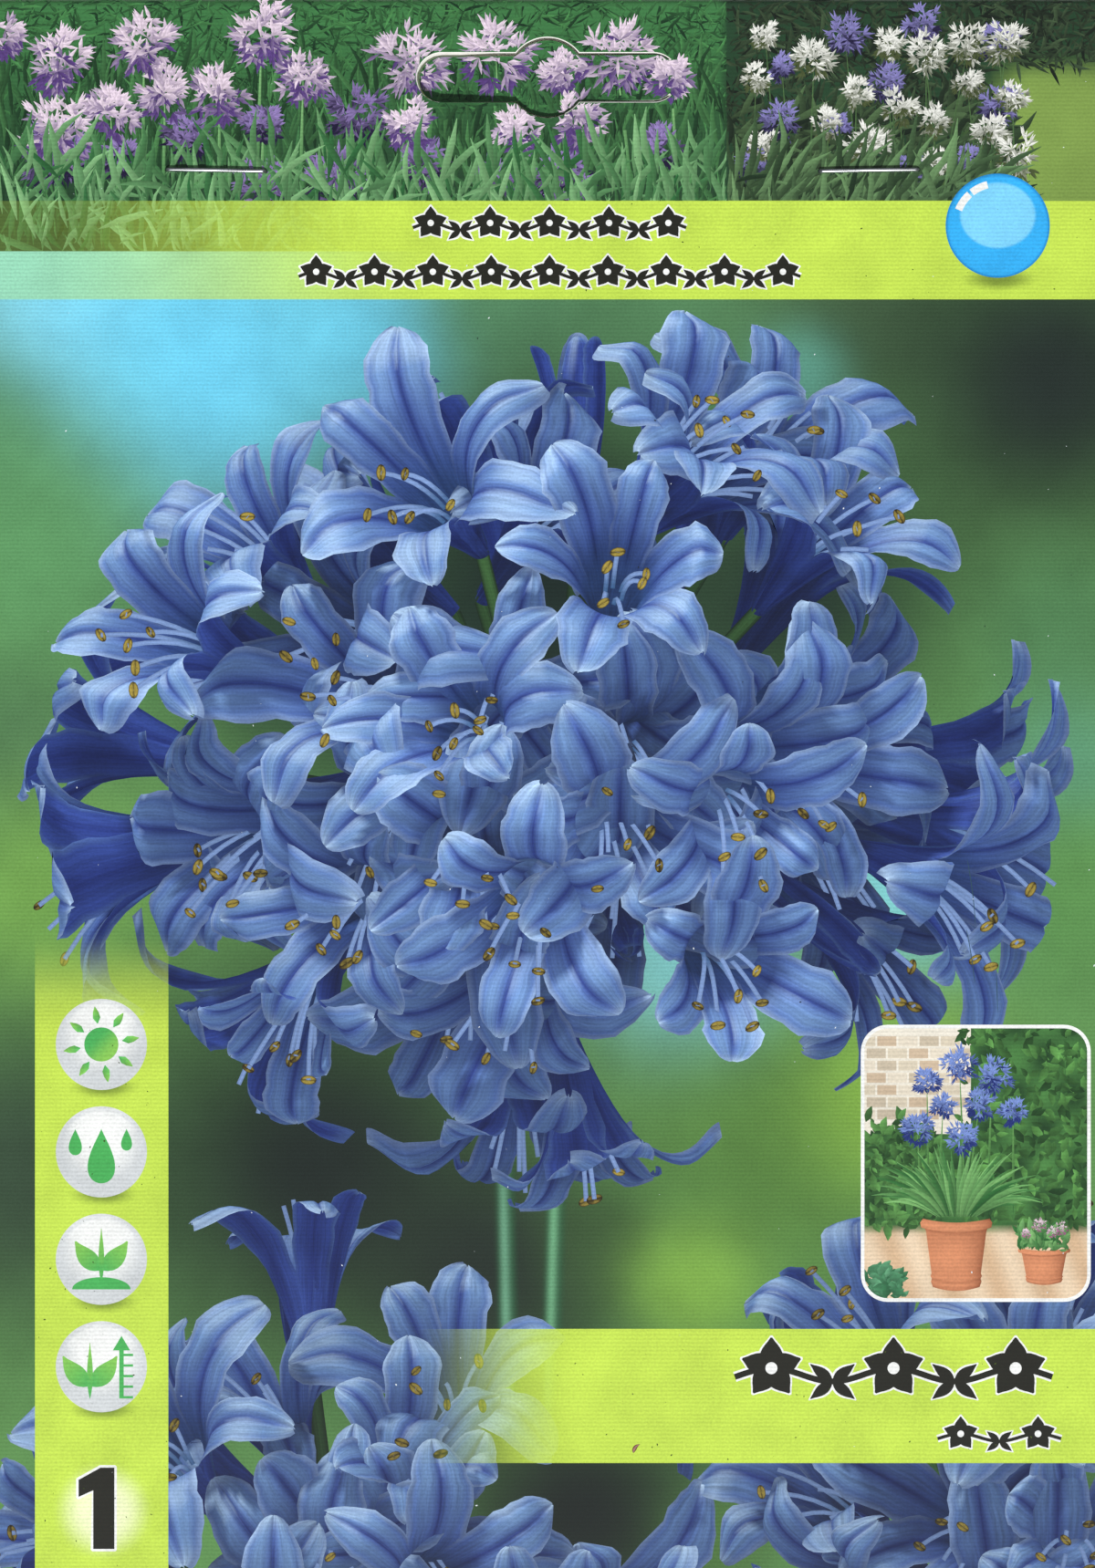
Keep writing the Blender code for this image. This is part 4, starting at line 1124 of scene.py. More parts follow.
def garland(first, last, middle, height, lift, ink, grow=0.0):
    """A garland ornament: a waved stem with five-petalled rosettes, and two pairs of leaves between each two.

    grow widens every form, for the white line that stands round the dark print.
    """
    count = max(2, round((last - first) / (height * 1.7)))
    pitch = (last - first) / count
    x = np.linspace(first + 0.2 * pitch, last - 0.2 * pitch, count * 16 + 1)
    wave = middle - height * 0.1 * np.cos((x - first) / pitch * 2 * math.pi)
    stem = ribbons(np.stack([x, wave, 0 * x], axis=1)[None], height * 0.045 + grow, 2).reshape(-1, 3)
    parts = [grid_part(on_card(stem[:, 0], stem[:, 1], lift), len(x), 2, 1, ink)]
    rosette_x = first + (np.arange(count) + 0.5) * pitch
    rosette_y = middle + height * 0.1
    leaf_x = first + np.arange(1, count) * pitch
    leaf_y = middle - height * 0.1
    petal_turns = np.tile(np.radians(np.arange(5) * 72.0 + 90.0), count)
    leaf_turns = np.repeat(np.radians([38.0, 142.0, -38.0, -142.0]), len(leaf_x))
    for root_x, root_y, turn, long, wide, layer in (
        (np.repeat(rosette_x, 5), rosette_y, petal_turns, 0.46, 0.34, 0.001),
        (np.tile(leaf_x, 4), leaf_y, leaf_turns, 0.42, 0.17, 0.002),
    ):
        place = (root_x - grow * np.cos(turn), root_y - grow * np.sin(turn), turn)
        size = (height * long + 2 * grow, height * wide + 2 * grow)
        parts.append(blades(*place, *size, 0 * turn, ink, ink, lift + layer, rows=9, fold=0.0))
    if not grow:
        eyes = [((x, rosette_y), height * 0.09, lift + 0.003) for x in rosette_x]
        parts += [round_shape(*eye, WHITE, rings=2, sides=20) for eye in eyes]
    return parts


for first, last, middle, height in (
    (-18.0, 18.5, 68.5, 4.4),
    (-32.0, 32.5, 62.5, 4.4),
    (20.0, 65.0, -72.6, 8.2),
    (46.0, 65.0, -80.3, 4.6),
):
    signs += garland(first, last, middle, height, TOP_LIFT, WHITE, grow=0.26)
    signs += garland(first, last, middle, height, TOP_LIFT + 0.008, SIGN_DARK)
add_piece("print_signs", signs, OVER_LIME, flat=1)


# The small framed picture: a plant in a terracotta pot and a small pot beside it, before a hedge and a brick
# wall, inside a white line with round corners. It is printed like the strip, in leaves and petals of ink.

# The left, right, lower and upper side of the frame, its corners' radius, and its white line's width.
FRAME = (38.9, 66.3, -63.2, -30.0)
FRAME_CORNER = 2.9
FRAME_LINE = 0.42
GROUND_Y = -55.0
BRICK_TONES = ("#D9CDB6", "#CDB79C", "#E3D8C4", "#C9BBA4")
BLOOMS = (
    (46.6, -36.4),
    (50.6, -34.6),
    (54.6, -36.0),
    (48.6, -39.6),
    (53.0, -39.4),
    (45.4, -42.4),
    (57.2, -40.2),
    (51.0, -43.4),
)
LOW_BLOOMS = ((58.8, -55.2), (60.4, -54.2), (62.0, -55.0), (63.2, -54.6))
HEDGE_LIFT = (TOP_LIFT + 0.008, TOP_LIFT + 0.02)
PLANT_LIFT = (TOP_LIFT + 0.024, TOP_LIFT + 0.03)


def rounded(left, right, bottom, top, radius, steps=10):
    """The outline of a rectangle with round corners, as (x, v) points."""
    outline = []
    for corner_x, corner_y, start in (
        (right - radius, top - radius, 0.0),
        (left + radius, top - radius, 90.0),
        (left + radius, bottom + radius, 180.0),
        (right - radius, bottom + radius, 270.0),
    ):
        turn = np.radians(np.linspace(start, start + 90.0, steps + 1))
        outline.append(np.stack([corner_x + radius * np.cos(turn), corner_y + radius * np.sin(turn)], axis=1))
    return np.concatenate(outline)


def framed(part):
    """A part kept inside the small frame: points past it move to its line, also round its corners."""
    left, right, bottom, top = FRAME
    part = trimmed(part, left, right, bottom, top)
    points = part["points"] / MM
    near_x = np.clip(points[:, 0], left + FRAME_CORNER, right - FRAME_CORNER)
    near_y = np.clip(points[:, 1], bottom + FRAME_CORNER, top - FRAME_CORNER)
    dx, dy = points[:, 0] - near_x, points[:, 1] - near_y
    pull = np.minimum(1.0, FRAME_CORNER / np.maximum(np.hypot(dx, dy), 1e-9))
    points[:, 0], points[:, 1] = near_x + dx * pull, near_y + dy * pull
    return {**part, "points": points * MM}


def patch(left, right, bottom, top, step, lift, ink_at):
    """A rectangle of ink as a grid, with its ink given by place."""
    columns, rows = round((right - left) / step) + 1, round((top - bottom) / step) + 1
    x, v = np.meshgrid(np.linspace(left, right, columns), np.linspace(bottom, top, rows))
    return grid_part(on_card(x.ravel(), v.ravel(), lift), rows, columns, 1, ink_at(x, v))


def plain(tone):
    """Ink of one tone for a patch."""
    return lambda x, v: np.broadcast_to(linear(tone), x.shape + (3,))


def yard_ink(x, v):
    """Ink of the small picture's ground: hedge above, sunlit paving below."""
    paving = mixed(linear("#D8B691"), linear("#EBD3B4"), 0.5 + 0.5 * np.sin(x * 1.1 + v * 0.4))
    hedge = mixed(linear("#1E3F22"), linear("#4D8444"), 0.5 + 0.5 * np.sin(x * 0.9) * np.sin(v * 0.7))
    return mixed(paving, hedge, smooth_step(GROUND_Y - 0.6, GROUND_Y + 0.8, v))


def pot(x, rim_y, half, height, lift):
    """A turned clay pot seen from the front: a rolled rim, a tapering body and two rings near its foot."""
    rows = np.array([0.0, 0.06, 0.13, 0.15, 0.2, 0.5, 0.8, 0.84, 0.88, 0.92, 1.0])
    wide = np.array([1.0, 1.08, 1.05, 0.93, 0.9, 0.82, 0.74, 0.77, 0.73, 0.76, 0.7])
    lightness = np.array([0.75, 1.1, 0.9, 0.5, 0.8, 1.0, 0.95, 1.05, 0.7, 1.0, 0.6])
    t = np.linspace(-1, 1, 15)
    sag = 0.12 * half * (t**2 - 1.0)
    pot_x = x + half * wide[:, None] * t
    pot_y = rim_y - height * rows[:, None] + sag
    across = np.sqrt(np.maximum(1 - (t + 0.25) ** 2 / 1.6, 0.05))
    ink = mixed(linear("#7C3F24"), linear("#E2956B"), np.clip(lightness[:, None] * across, 0, 1))
    return grid_part(on_card(pot_x.ravel(), pot_y.ravel(), lift), len(rows), 15, 1, ink)


def strap_leaves(seed, x, y, count, length, inks, lifts):
    """Strap leaves that rise from a pot and arch over to both sides."""
    draw = np.random.default_rng(seed)
    lean = draw.uniform(-1.0, 1.0, count)
    tone = mixed(linear(inks[0]), linear(inks[1]), draw.random(count))
    long = length * draw.uniform(0.6, 1.1, count)
    place = (x + lean * 2.4, np.full(count, y), UP - lean * 0.9)
    lift = np.linspace(*lifts, count)
    return blades(*place, long, length * 0.07, -lean * 1.1, tone * 0.55, tone, lift, rows=8)


small_picture = [
    patch(*FRAME, 0.6, TOP_LIFT, yard_ink),
    patch(FRAME[0], 52.0, -43.0, FRAME[3], 1.0, TOP_LIFT + 0.003, plain("#EDE6D6")),
]
for row, column in np.ndindex(7, 5):
    left = FRAME[0] - 1.0 + column * 2.6 + (row % 2) * 1.3
    bottom = -32.2 - row * 1.5
    brick_ink = plain(BRICK_TONES[(row * 3 + column * 5) % 4])
    small_picture.append(patch(left, left + 2.35, bottom, bottom + 1.2, 1.3, TOP_LIFT + 0.006, brick_ink))
small_picture += [
    leafage(41, 420, 51.0, FRAME[1], -54.5, FRAME[3], 1.7, 1.0, 1.5, ("#234A25", "#6FB25A"), HEDGE_LIFT, 0.5),
    leafage(42, 260, FRAME[0], 48.0, -54.5, -41.5, 1.7, 1.0, 1.5, ("#234A25", "#78BC62"), HEDGE_LIFT, 0.5),
    pot(50.2, -53.4, 4.1, 8.4, TOP_LIFT + 0.022),
    pot(61.0, -57.0, 3.0, 4.2, TOP_LIFT + 0.022),
    stems(43, BLOOMS, -52.8, 0.28, ("#245428", "#6FA65C"), TOP_LIFT + 0.024),
    strap_leaves(44, 50.2, -53.2, 110, 9.0, ("#2F7036", "#86C274"), (TOP_LIFT + 0.026, TOP_LIFT + 0.036)),
    small_heads(45, BLOOMS, 2.3, 40, ("#24357E", "#86A0E6"), TOP_LIFT + 0.038),
    leafage(46, 120, 58.0, 64.0, -57.4, -55.0, 1.5, UP, 0.7, ("#2F7036", "#8CC97A"), PLANT_LIFT, 0.4),
    small_heads(47, LOW_BLOOMS, 0.9, 22, ("#A45C86", "#FBE3EE"), TOP_LIFT + 0.036),
    leafage(48, 70, FRAME[0], 43.5, FRAME[2], -59.6, 1.7, 0.9, 0.9, ("#2B6E45", "#6DB184"), PLANT_LIFT, 0.55),
]
inner_line, outer_line = (
    rounded(FRAME[0] - out, FRAME[1] + out, FRAME[2] - out, FRAME[3] + out, FRAME_CORNER + out)
    for out in (-0.02, FRAME_LINE)
)
ring = np.stack([inner_line, outer_line], axis=1)
ring = np.concatenate([ring, ring[:1]]).reshape(-1, 2)
small_picture = [framed(part) for part in small_picture]
small_picture.append(grid_part(on_card(*ring.T, TOP_LIFT + 0.08), len(ring) // 2, 2, 1, WHITE))
add_piece("print_small_picture", small_picture, OVER_LIME, flat=1)


# Signs of handling on the face: three fine dark scratches, a curled brown fibre stuck to the lime, and a
# little light and dark dust. All are far thinner than the board.

WEAR_LIFT = TOP_LIFT + 0.1
SCRATCH_TONE = linear("#33505C")
# Scratches: the two ends of each, and how far its middle bows to the right.
SCRATCHES = (
    ((51.5, -9.0), (52.6, -17.8), 0.15),
    ((51.4, -17.6), (52.5, -24.8), 0.1),
    ((55.1, -22.6), (55.3, -28.2), 0.0),
)
wear = []
share = np.linspace(0, 1, 12)
for (x0, y0), (x1, y1), lean in SCRATCHES:
    x = x0 + (x1 - x0) * share + lean * np.sin(share * math.pi)
    line = np.stack([x, y0 + (y1 - y0) * share, 0 * share], axis=1)
    points = ribbons(line[None], 0.05 * np.sin(share * math.pi) ** 0.3, 2).reshape(-1, 3)
    wear.append(grid_part(on_card(points[:, 0], points[:, 1], WEAR_LIFT), 12, 2, 1, SCRATCH_TONE))
# The fibre: the x, v and heading of its root, and how far it curls. Its dark body has a paler middle.
fibre = (np.array([10.55]), np.array([-82.2]), np.array([1.5]))
curl = np.array([-1.3])
for width, tone, lift in ((0.5, "#5A2F28", 0.0), (0.26, "#A2776A", 0.004)):
    tone = linear(tone)
    wear.append(blades(*fibre, 1.45, width, curl, tone, tone, WEAR_LIFT + lift, rows=9, fold=0.0))
# Dust: how many specks, their colour, and the left, right, lower and upper side of the box they lie in.
draw = np.random.default_rng(77)
for count, tone, (left, right, bottom, top) in (
    (90, "#3A4A1C", (COLUMN_X[0], COLUMN_X[1], BOTTOM, -32.0)),
    (60, "#4A5A20", (0.0, RIGHT, *TITLE_Y)),
    (60, "#3E4E1E", (-20.0, RIGHT, PICTURE_Y, STRIP_Y)),
    (90, "#E8F0F4", (LEFT, RIGHT, BOTTOM, TOP - 3.0)),
    (60, "#20262A", (LEFT, RIGHT, BOTTOM, TOP - 3.0)),
):
    size = 0.06 + 0.16 * draw.random(count) ** 3
    x, y = draw.uniform(left, right, count), draw.uniform(bottom, top, count)
    heading = draw.uniform(0, 6.3, count)
    tone = linear(tone)
    wear.append(blades(x, y, heading, size * 1.6, size, 0 * x, tone, tone, WEAR_LIFT, rows=3, fold=0.0))
add_piece("handling_marks", [with_slot(part) for part in wear], OVER_LIME, flat=1)


# The back of the card, offset printed like the front but plainly: lime that fades to aqua at one side, and on
# the sloping flap a white panel with two green garlands.

SLOT_BACK = BACK_START + FOLD_Y - SLOT_Y
BACK_PANEL = (-56.0, 56.0, BACK_END - 22.0, BACK_END - 4.0)


def back_ink(x, v):
    """Lime that fades to aqua towards the left."""
    return mixed(linear(AQUA), LIME_INK, smooth_step(LEFT, -10.0, x))


add_piece(
    "print_back",
    [sheet(BACK_START - FLAP_START, BACK_END, back_ink, slot_v=SLOT_BACK)],
    OVER_LIME,
)
back_signs = [flat_shape(rounded(*BACK_PANEL, 3.0), 0.05, WHITE)]
for first, last in ((-50.0, -8.0), (8.0, 50.0)):
    back_signs += garland(first, last, sum(BACK_PANEL[2:]) / 2, 6.0, 0.07, linear("#4DA85A"))
add_piece("print_back_signs", back_signs, OVER_LIME, flat=-1)


# The two staples: zinc-coated round wire 0.5 mm thick, driven through card and film, with the crown on the
# picture and both legs bent over flat behind. The crown bows a little, and its ends bite down to the card.

# A staple's crown width and wire radius. Each staple: its node, the x of its middle, and its turn in degrees.
CROWN = 12.7
WIRE = 0.25
STAPLE_Y = TOP - 21.3
STAPLES = (("staple_left", -40.7, -1.0), ("staple_right", 39.5, 0.85))
CLINCH = 4.4
BOW = 0.06
CORNER = 0.45
BACK_FACE_Z = FACE_Z - 2 * FOLD_RADIUS - BOARD


def tubes(paths, radii, sides, reference, flatten=1.0):
    """Round skins along paths, one grid for each: rings across the run, turned from a reference direction.

    Across the reference a ring is as wide as its radius, and along it as high as the radius times flatten.
    """
    ahead = np.gradient(paths, axis=1)
    ahead /= np.linalg.norm(ahead, axis=-1, keepdims=True)
    side = np.cross(ahead, reference)
    side /= np.linalg.norm(side, axis=-1, keepdims=True)
    up = np.cross(side, ahead) * flatten
    turn = np.linspace(0, 2 * math.pi, sides + 1)[:, None]
    ring = np.cos(turn) * side[:, :, None] - np.sin(turn) * up[:, :, None]
    return paths[:, :, None] + np.broadcast_to(radii, paths.shape[:2])[:, :, None, None] * ring


def solid_part(points):
    """A part from grids of points in millimetres, shaped (copy, row, column, 3), with no ink."""
    copies, rows, columns, _ = points.shape
    part = grid_part(points * MM, rows, columns, copies, np.zeros(3))
    del part["ink"]
    return part


def staple_line():
    """Middle line of a staple in X and Z: clinched leg, leg, bowed crown, leg, clinched leg."""
    reach = CROWN / 2 - WIRE
    inner = reach - CORNER
    crown_z = FACE_Z + 0.3 + WIRE
    back_z = BACK_FACE_Z - 0.3 - WIRE
    turn = np.radians(np.linspace(0, 90, 8))
    end = np.linspace(-1, 0, 7)[:-1]
    tip = np.stack([np.linspace(reach - CLINCH, inner, 7)[:-1], back_z + 0.25 * end**3], axis=1)
    lower = np.stack([inner + CORNER * np.sin(turn), back_z + CORNER - CORNER * np.cos(turn)], axis=1)
    upper = np.stack([inner + CORNER * np.cos(turn), crown_z - BOW - CORNER + CORNER * np.sin(turn)], axis=1)
    x = np.linspace(inner, 0, 12)[1:]
    crown = np.stack([x, crown_z - BOW * (x / inner) ** 4], axis=1)
    half = np.concatenate([tip, lower, upper, crown])
    return np.concatenate([half, (half * (-1, 1))[-2::-1]])


def zinc_wire():
    """Drawn steel wire with a bright zinc coat, its streaks about 3 mm long and 0.2 mm wide along its run."""
    made, tree, shader = finish_of("zinc_coated_wire", {"Metallic": 1.0, "Roughness": 0.28})
    place = add(tree, "TexCoord").outputs["Object"]
    long = add(tree, "Mapping", {"Scale": (0.3 / MM, 5.0 / MM, 5.0 / MM)}, [(place, "Vector")])
    streak = add(tree, "TexNoise", {"Scale": 1.0, "Detail": 3.0}, [(long, "Vector")]).outputs["Fac"]
    grey = add(tree, "ValToRGB", {"stops": [(0.3, "#74787D"), (0.6, "#B9BCC0")]}, [(streak, "Fac")])
    join(tree, grey, shader, "Base Color")
    return made


WIRE_FINISH = zinc_wire()
for name, x, turn in STAPLES:
    line = staple_line()
    path = np.stack([line[:, 0], 0 * line[:, 0], line[:, 1]], axis=1)
    end = np.concatenate([[0.15, 0.9], np.ones(len(path) - 4), [0.9, 0.15]])
    wire = tubes(path[None], WIRE * end[None], 16, (0.0, 1.0, 0.0))
    cosine, sine = math.cos(math.radians(turn)), math.sin(math.radians(turn))
    wire = wire @ np.array([(cosine, sine, 0), (-sine, cosine, 0), (0, 0, 1)])
    staple = add_piece(name + "_wire", [solid_part(wire + (x, STAPLE_Y, 0.0))], WIRE_FINISH)
    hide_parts(name)


# The bag: a lay-flat tube of clear polythene film about 0.05 mm thick, heat sealed at the bottom, its neck
# held between the card's panels by the staples. It is creased, most of all between the neck and the peat.

FLAT_WIDTH = 105.0
BAG_THICK = 22.0
NECK_THICK = 0.8
MOUTH_Y = TOP - 15.6
FILLET = 14.0
SEAL_END_Y = -93.5
SEAL_Y = SEAL_END_Y + 6.0
SEAL_Z = 8.0
END_TAPER = 25.0
BEND_CENTRE_Z = BACK_FACE_Z - BEND_RADIUS
SHOULDER = BEND_RADIUS + BOARD + 0.3
SLOPE_Y = BEND_Y - SHOULDER * math.sin(BEND)
SLOPE_Z = BEND_CENTRE_Z + SHOULDER * math.cos(BEND)
TANGENT = FILLET * math.tan(BEND / 2)
BELLY_Y = SLOPE_Y - SLOPE_Z / math.tan(BEND) - TANGENT
FILLET_Y = BELLY_Y + TANGENT * (1.0 + math.cos(BEND))


def bag_section(y):
    """(middle height, half height, half flat width) of the bag at each y.

    The underside follows the flap's bend and slope to a fillet on the floor. The bottom end tapers to its
    seal. A tube keeps its way round, so where it is thick it is narrower.
    """
    on_bend = BEND_CENTRE_Z + np.sqrt(np.maximum(SHOULDER**2 - (BEND_Y - y) ** 2, 0.0))
    on_slope = SLOPE_Z - (SLOPE_Y - y) * math.tan(BEND)
    on_fillet = FILLET - np.sqrt(np.maximum(FILLET**2 - (y - BELLY_Y) ** 2, 0.0))
    low = np.select(
        [y >= BEND_Y, y >= SLOPE_Y, y >= FILLET_Y, y >= BELLY_Y],
        [BEND_CENTRE_Z + SHOULDER, on_bend, on_slope, on_fillet],
        0.0,
    )
    share = np.clip((SEAL_Y + END_TAPER - y) / END_TAPER, 0.0, 1.0) ** 2
    low = low + (SEAL_Z - NECK_THICK / 2 - low) * share
    high = BAG_THICK + (SEAL_Z + NECK_THICK / 2 - BAG_THICK) * share
    height = high - low
    width = FLAT_WIDTH + height * (1.0 - math.pi / 2)
    return (low + high) / 2, height / 2, (width - height) / 2


def bag_skin(y, q, inset):
    """Places on the bag pulled in by inset.

    q runs round it: the right side from 0 to 1, the face to 2, the left side to 3 and the back to 4.
    """
    middle, radius, flat = bag_section(y)
    radius = np.maximum(radius - inset, 0.02)
    part = np.floor(q).astype(int) % 4
    along = q - np.floor(q)
    turn = math.pi * (along - 0.5)
    shift = np.choose(part, [1.0 + 0 * q, 1.0 - 2.0 * along, -1.0 + 0 * q, 2.0 * along - 1.0])
    out_x = np.choose(part, [np.cos(turn), 0 * q, -np.cos(turn), 0 * q])
    out_z = np.choose(part, [np.sin(turn), 1.0 + 0 * q, -np.sin(turn), -1.0 + 0 * q])
    return np.stack(np.broadcast_arrays(shift * flat + out_x * radius, y, middle + out_z * radius), axis=-1)


def way_round(each_side, each_face):
    """Values of q once round the bag, closed, with so many steps on each side and each face."""
    steps = [np.arange(n) / n + k for k, n in enumerate((each_side, each_face, each_side, each_face))]
    return np.append(np.concatenate(steps), 4.0)


def creases(points, seed, count, longest):
    """How deep film is creased at each point, from 0 to 1: sharp folds along waves in many directions."""
    draw = np.random.default_rng(seed)
    depth = np.zeros(points.shape[:-1])
    for k in range(count):
        way = draw.normal(0.0, 1.0, 3)
        way /= np.linalg.norm(way)
        wave = longest * 0.78**k
        bend = np.sin(points @ draw.normal(0.0, 0.06, 3) + draw.uniform(0, 6))
        ridge = 1.0 - np.abs(np.sin(points @ way * math.pi / wave + 1.7 * bend))
        depth += ridge**3 * 0.8**k
    return depth / np.max(depth)


def clear_film():
    """Blown polythene film: clear, glossy and hazed across the ribbed heat seal, with painted highlights along
    its creases.

    The creases lie about 11 mm apart and the seal's ribs 0.95 mm.
    """
    settings = {"Roughness": 0.08, "Specular IOR Level": 1.0, "Base Color": (*linear("#EEF3F3"), 1)}
    made, tree, shader = finish_of("clear_polythene_film", settings)
    place = add(tree, "TexCoord").outputs["Object"]
    axes = add(tree, "SeparateXYZ", links=[(place, "Vector")])
    crumple = {"Scale": 0.09 / MM, "Detail": 2.0, "Distortion": 1.0}
    fold = add(tree, "TexNoise", crumple, [(place, "Vector")]).outputs["Fac"]
    off = add(tree, "Math", {"operation": "SUBTRACT", 1: 0.52}, [(fold, 0)])
    off = add(tree, "Math", {"operation": "ABSOLUTE"}, [(off, 0)])
    # A faint haze all over, plus a painted highlight: the film is whiter along thin lines of the crumple
    # noise, as creases that catch the light.
    haze_and_crease_highlight = add(tree, "MapRange", {"From Max": 0.05, "To Min": 0.2, "To Max": 0.07}, [(off, "Value")])
    sealed = {"From Min": (SEAL_Y + 0.5) * MM, "From Max": SEAL_Y * MM, "To Max": 0.25}
    seal = add(tree, "MapRange", sealed, [(axes.outputs["Y"], "Value")])
    # Painted reflection: the film grows whiter and less clear where it is seen edge-on.
    rim = add(tree, "LayerWeight", {"Blend": 0.25}).outputs["Facing"]
    haze_and_painted_sheen = add(tree, "Math", {"operation": "MULTIPLY_ADD", 1: 0.3}, [(rim, 0), (haze_and_crease_highlight, 2)])
    alpha = add(tree, "Math", {"operation": "ADD", "use_clamp": True}, [(haze_and_painted_sheen, 0), (seal, 1)])
    join(tree, alpha, shader, "Alpha")
    ribs = add(tree, "TexWave", {"bands_direction": "Y", "Scale": 0.33 / MM}, [(place, "Vector")])
    ribbed = add(tree, "Math", {"operation": "MULTIPLY"}, [(ribs.outputs["Fac"], 0), (seal, 1)])
    both = add(tree, "Math", {"operation": "MULTIPLY_ADD", 1: 4.0}, [(ribbed, 0), (fold, 2)])
    bump = add(tree, "Bump", {"Strength": 0.6, "Distance": 0.25 * MM}, [(both, "Height")])
    join(tree, bump, shader, "Normal")
    return made


PEAT_TOP_Y = 44.0
PEAT_BOTTOM_Y = -82.0
film_y = np.concatenate([np.linspace(MOUTH_Y, SEAL_Y, 240), np.linspace(SEAL_Y, SEAL_END_Y, 8)[1:]])
film_y, film_q = np.meshgrid(film_y, way_round(14, 62), indexing="ij")
outer = bag_skin(film_y, film_q, 0.0)
free = smooth_step(PEAT_TOP_Y - 4.0, PEAT_TOP_Y + 8.0, film_y)
room = np.clip(bag_section(film_y)[1] - NECK_THICK / 2, 0.0, 3.0) / 3.0
depth = (0.4 + 1.3 * free) * room * creases(outer, 5, 9, 34.0)
gathers = np.abs(np.sin(outer[..., 0] * 0.62 + 0.8 * np.sin(outer[..., 0] * 0.17))) ** 3 * free * room * 0.5
skin = bag_skin(film_y, film_q, depth + gathers)
film = add_piece("polythene_bag", [solid_part(skin[None])], clear_film())
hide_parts("bag_film")


# The packing: damp sphagnum peat, crumbly and fibrous, with pale planed wood shavings pressed between it and
# the film. Both follow the bag's inside.


def speckle(points, cell, seed):
    """Smooth random values from 0 to 1: drawn at the corners of cubes as wide as cell and blended between."""
    place = points / cell
    corner = np.floor(place).astype(np.int64)
    share = place - corner
    share = share * share * (3.0 - 2.0 * share)
    total = np.zeros(points.shape[:-1])
    for step in np.ndindex(2, 2, 2):
        key = (corner + step) @ np.array([73856093, 19349663, 83492791]) + seed * 7919
        key = (key ^ (key >> 13)) * 1274126177 & 0xFFFFFFFF
        value = ((key >> 7) & 0xFFFF) / 65535
        total += value * np.where(step, share, 1.0 - share).prod(axis=-1)
    return total


def damp_peat():
    """Damp milled peat: near-black brown crumbs 1 to 2 mm across, with rusty fibres and a few wet glints."""
    made, tree, shader = finish_of("damp_sphagnum_peat", {"Specular IOR Level": 0.3})
    place = add(tree, "TexCoord").outputs["Object"]
    crumb = add(tree, "TexVoronoi", {"Scale": 0.9 / MM}, [(place, "Vector")]).outputs["Distance"]
    fibrous = {"Scale": 0.42 / MM, "Detail": 5.0, "Roughness": 0.7}
    blend = add(tree, "TexNoise", fibrous, [(place, "Vector")]).outputs["Fac"]
    browns = [(0.3, "#1A100A"), (0.5, "#3C2515"), (0.62, "#5E3F25"), (0.78, "#8F6C44")]
    brown = add(tree, "ValToRGB", {"stops": browns}, [(blend, "Fac")])
    join(tree, brown, shader, "Base Color")
    wet = add(tree, "MapRange", {"To Min": 0.55, "To Max": 1.0}, [(blend, "Value")])
    join(tree, wet, shader, "Roughness")
    rough = add(tree, "Math", {"operation": "MULTIPLY_ADD", 1: -0.6}, [(crumb, 0), (blend, 2)])
    bump = add(tree, "Bump", {"Strength": 1.0, "Distance": 0.5 * MM}, [(rough, "Height")])
    join(tree, bump, shader, "Normal")
    return made


def pine_shaving():
    """Planed softwood shavings, damp: pale straw to tan with a grain about 4 mm wide."""
    made, tree, shader = finish_of("planed_pine_shaving", {"Roughness": 0.7})
    place = add(tree, "TexCoord").outputs["Object"]
    grain = add(tree, "TexNoise", {"Scale": 0.26 / MM, "Detail": 4.0}, [(place, "Vector")]).outputs["Fac"]
    tans = [(0.35, "#8E6A40"), (0.5, "#C49C68"), (0.68, "#E2C596")]
    tan = add(tree, "ValToRGB", {"stops": tans}, [(grain, "Fac")])
    join(tree, tan, shader, "Base Color")
    return made


PEAT_INSET = 0.62
peat_y = np.linspace(PEAT_TOP_Y, PEAT_BOTTOM_Y, 250)
shrink = np.ones(254)
shrink[[0, 1, -2, -1]] = (0.02, 0.7, 0.7, 0.02)
beyond = np.array([1.5, 1.0])
peat_y = np.concatenate([PEAT_TOP_Y + beyond, peat_y, PEAT_BOTTOM_Y - beyond[::-1]])
peat_y, peat_q = np.meshgrid(peat_y, way_round(16, 74)[:-1], indexing="ij")
skin = bag_skin(peat_y, peat_q, PEAT_INSET)
x, y, z = np.moveaxis(skin, -1, 0)
lumps = 0.5 + 0.32 * np.sin(x * 0.21 + y * 0.13) * np.sin(y * 0.27 - z * 0.31)
crumbs = 0.9 * speckle(skin, 2.4, 1) + 0.5 * speckle(skin, 1.1, 2)
skin = bag_skin(peat_y, peat_q, PEAT_INSET + 0.7 * lumps + crumbs)
core = skin.mean(axis=1, keepdims=True)
skin = core + (skin - core) * shrink[:, None, None]
skin[..., 1] += (speckle(skin, 3.0, 4) - 0.7) * (shrink < 1.0)[:, None] * np.sign(skin[..., 1])
skin = np.concatenate([skin, skin[:, :1]], axis=1)
peat = add_piece("sphagnum_peat", [solid_part(skin[None])], damp_peat())
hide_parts("peat_fill")

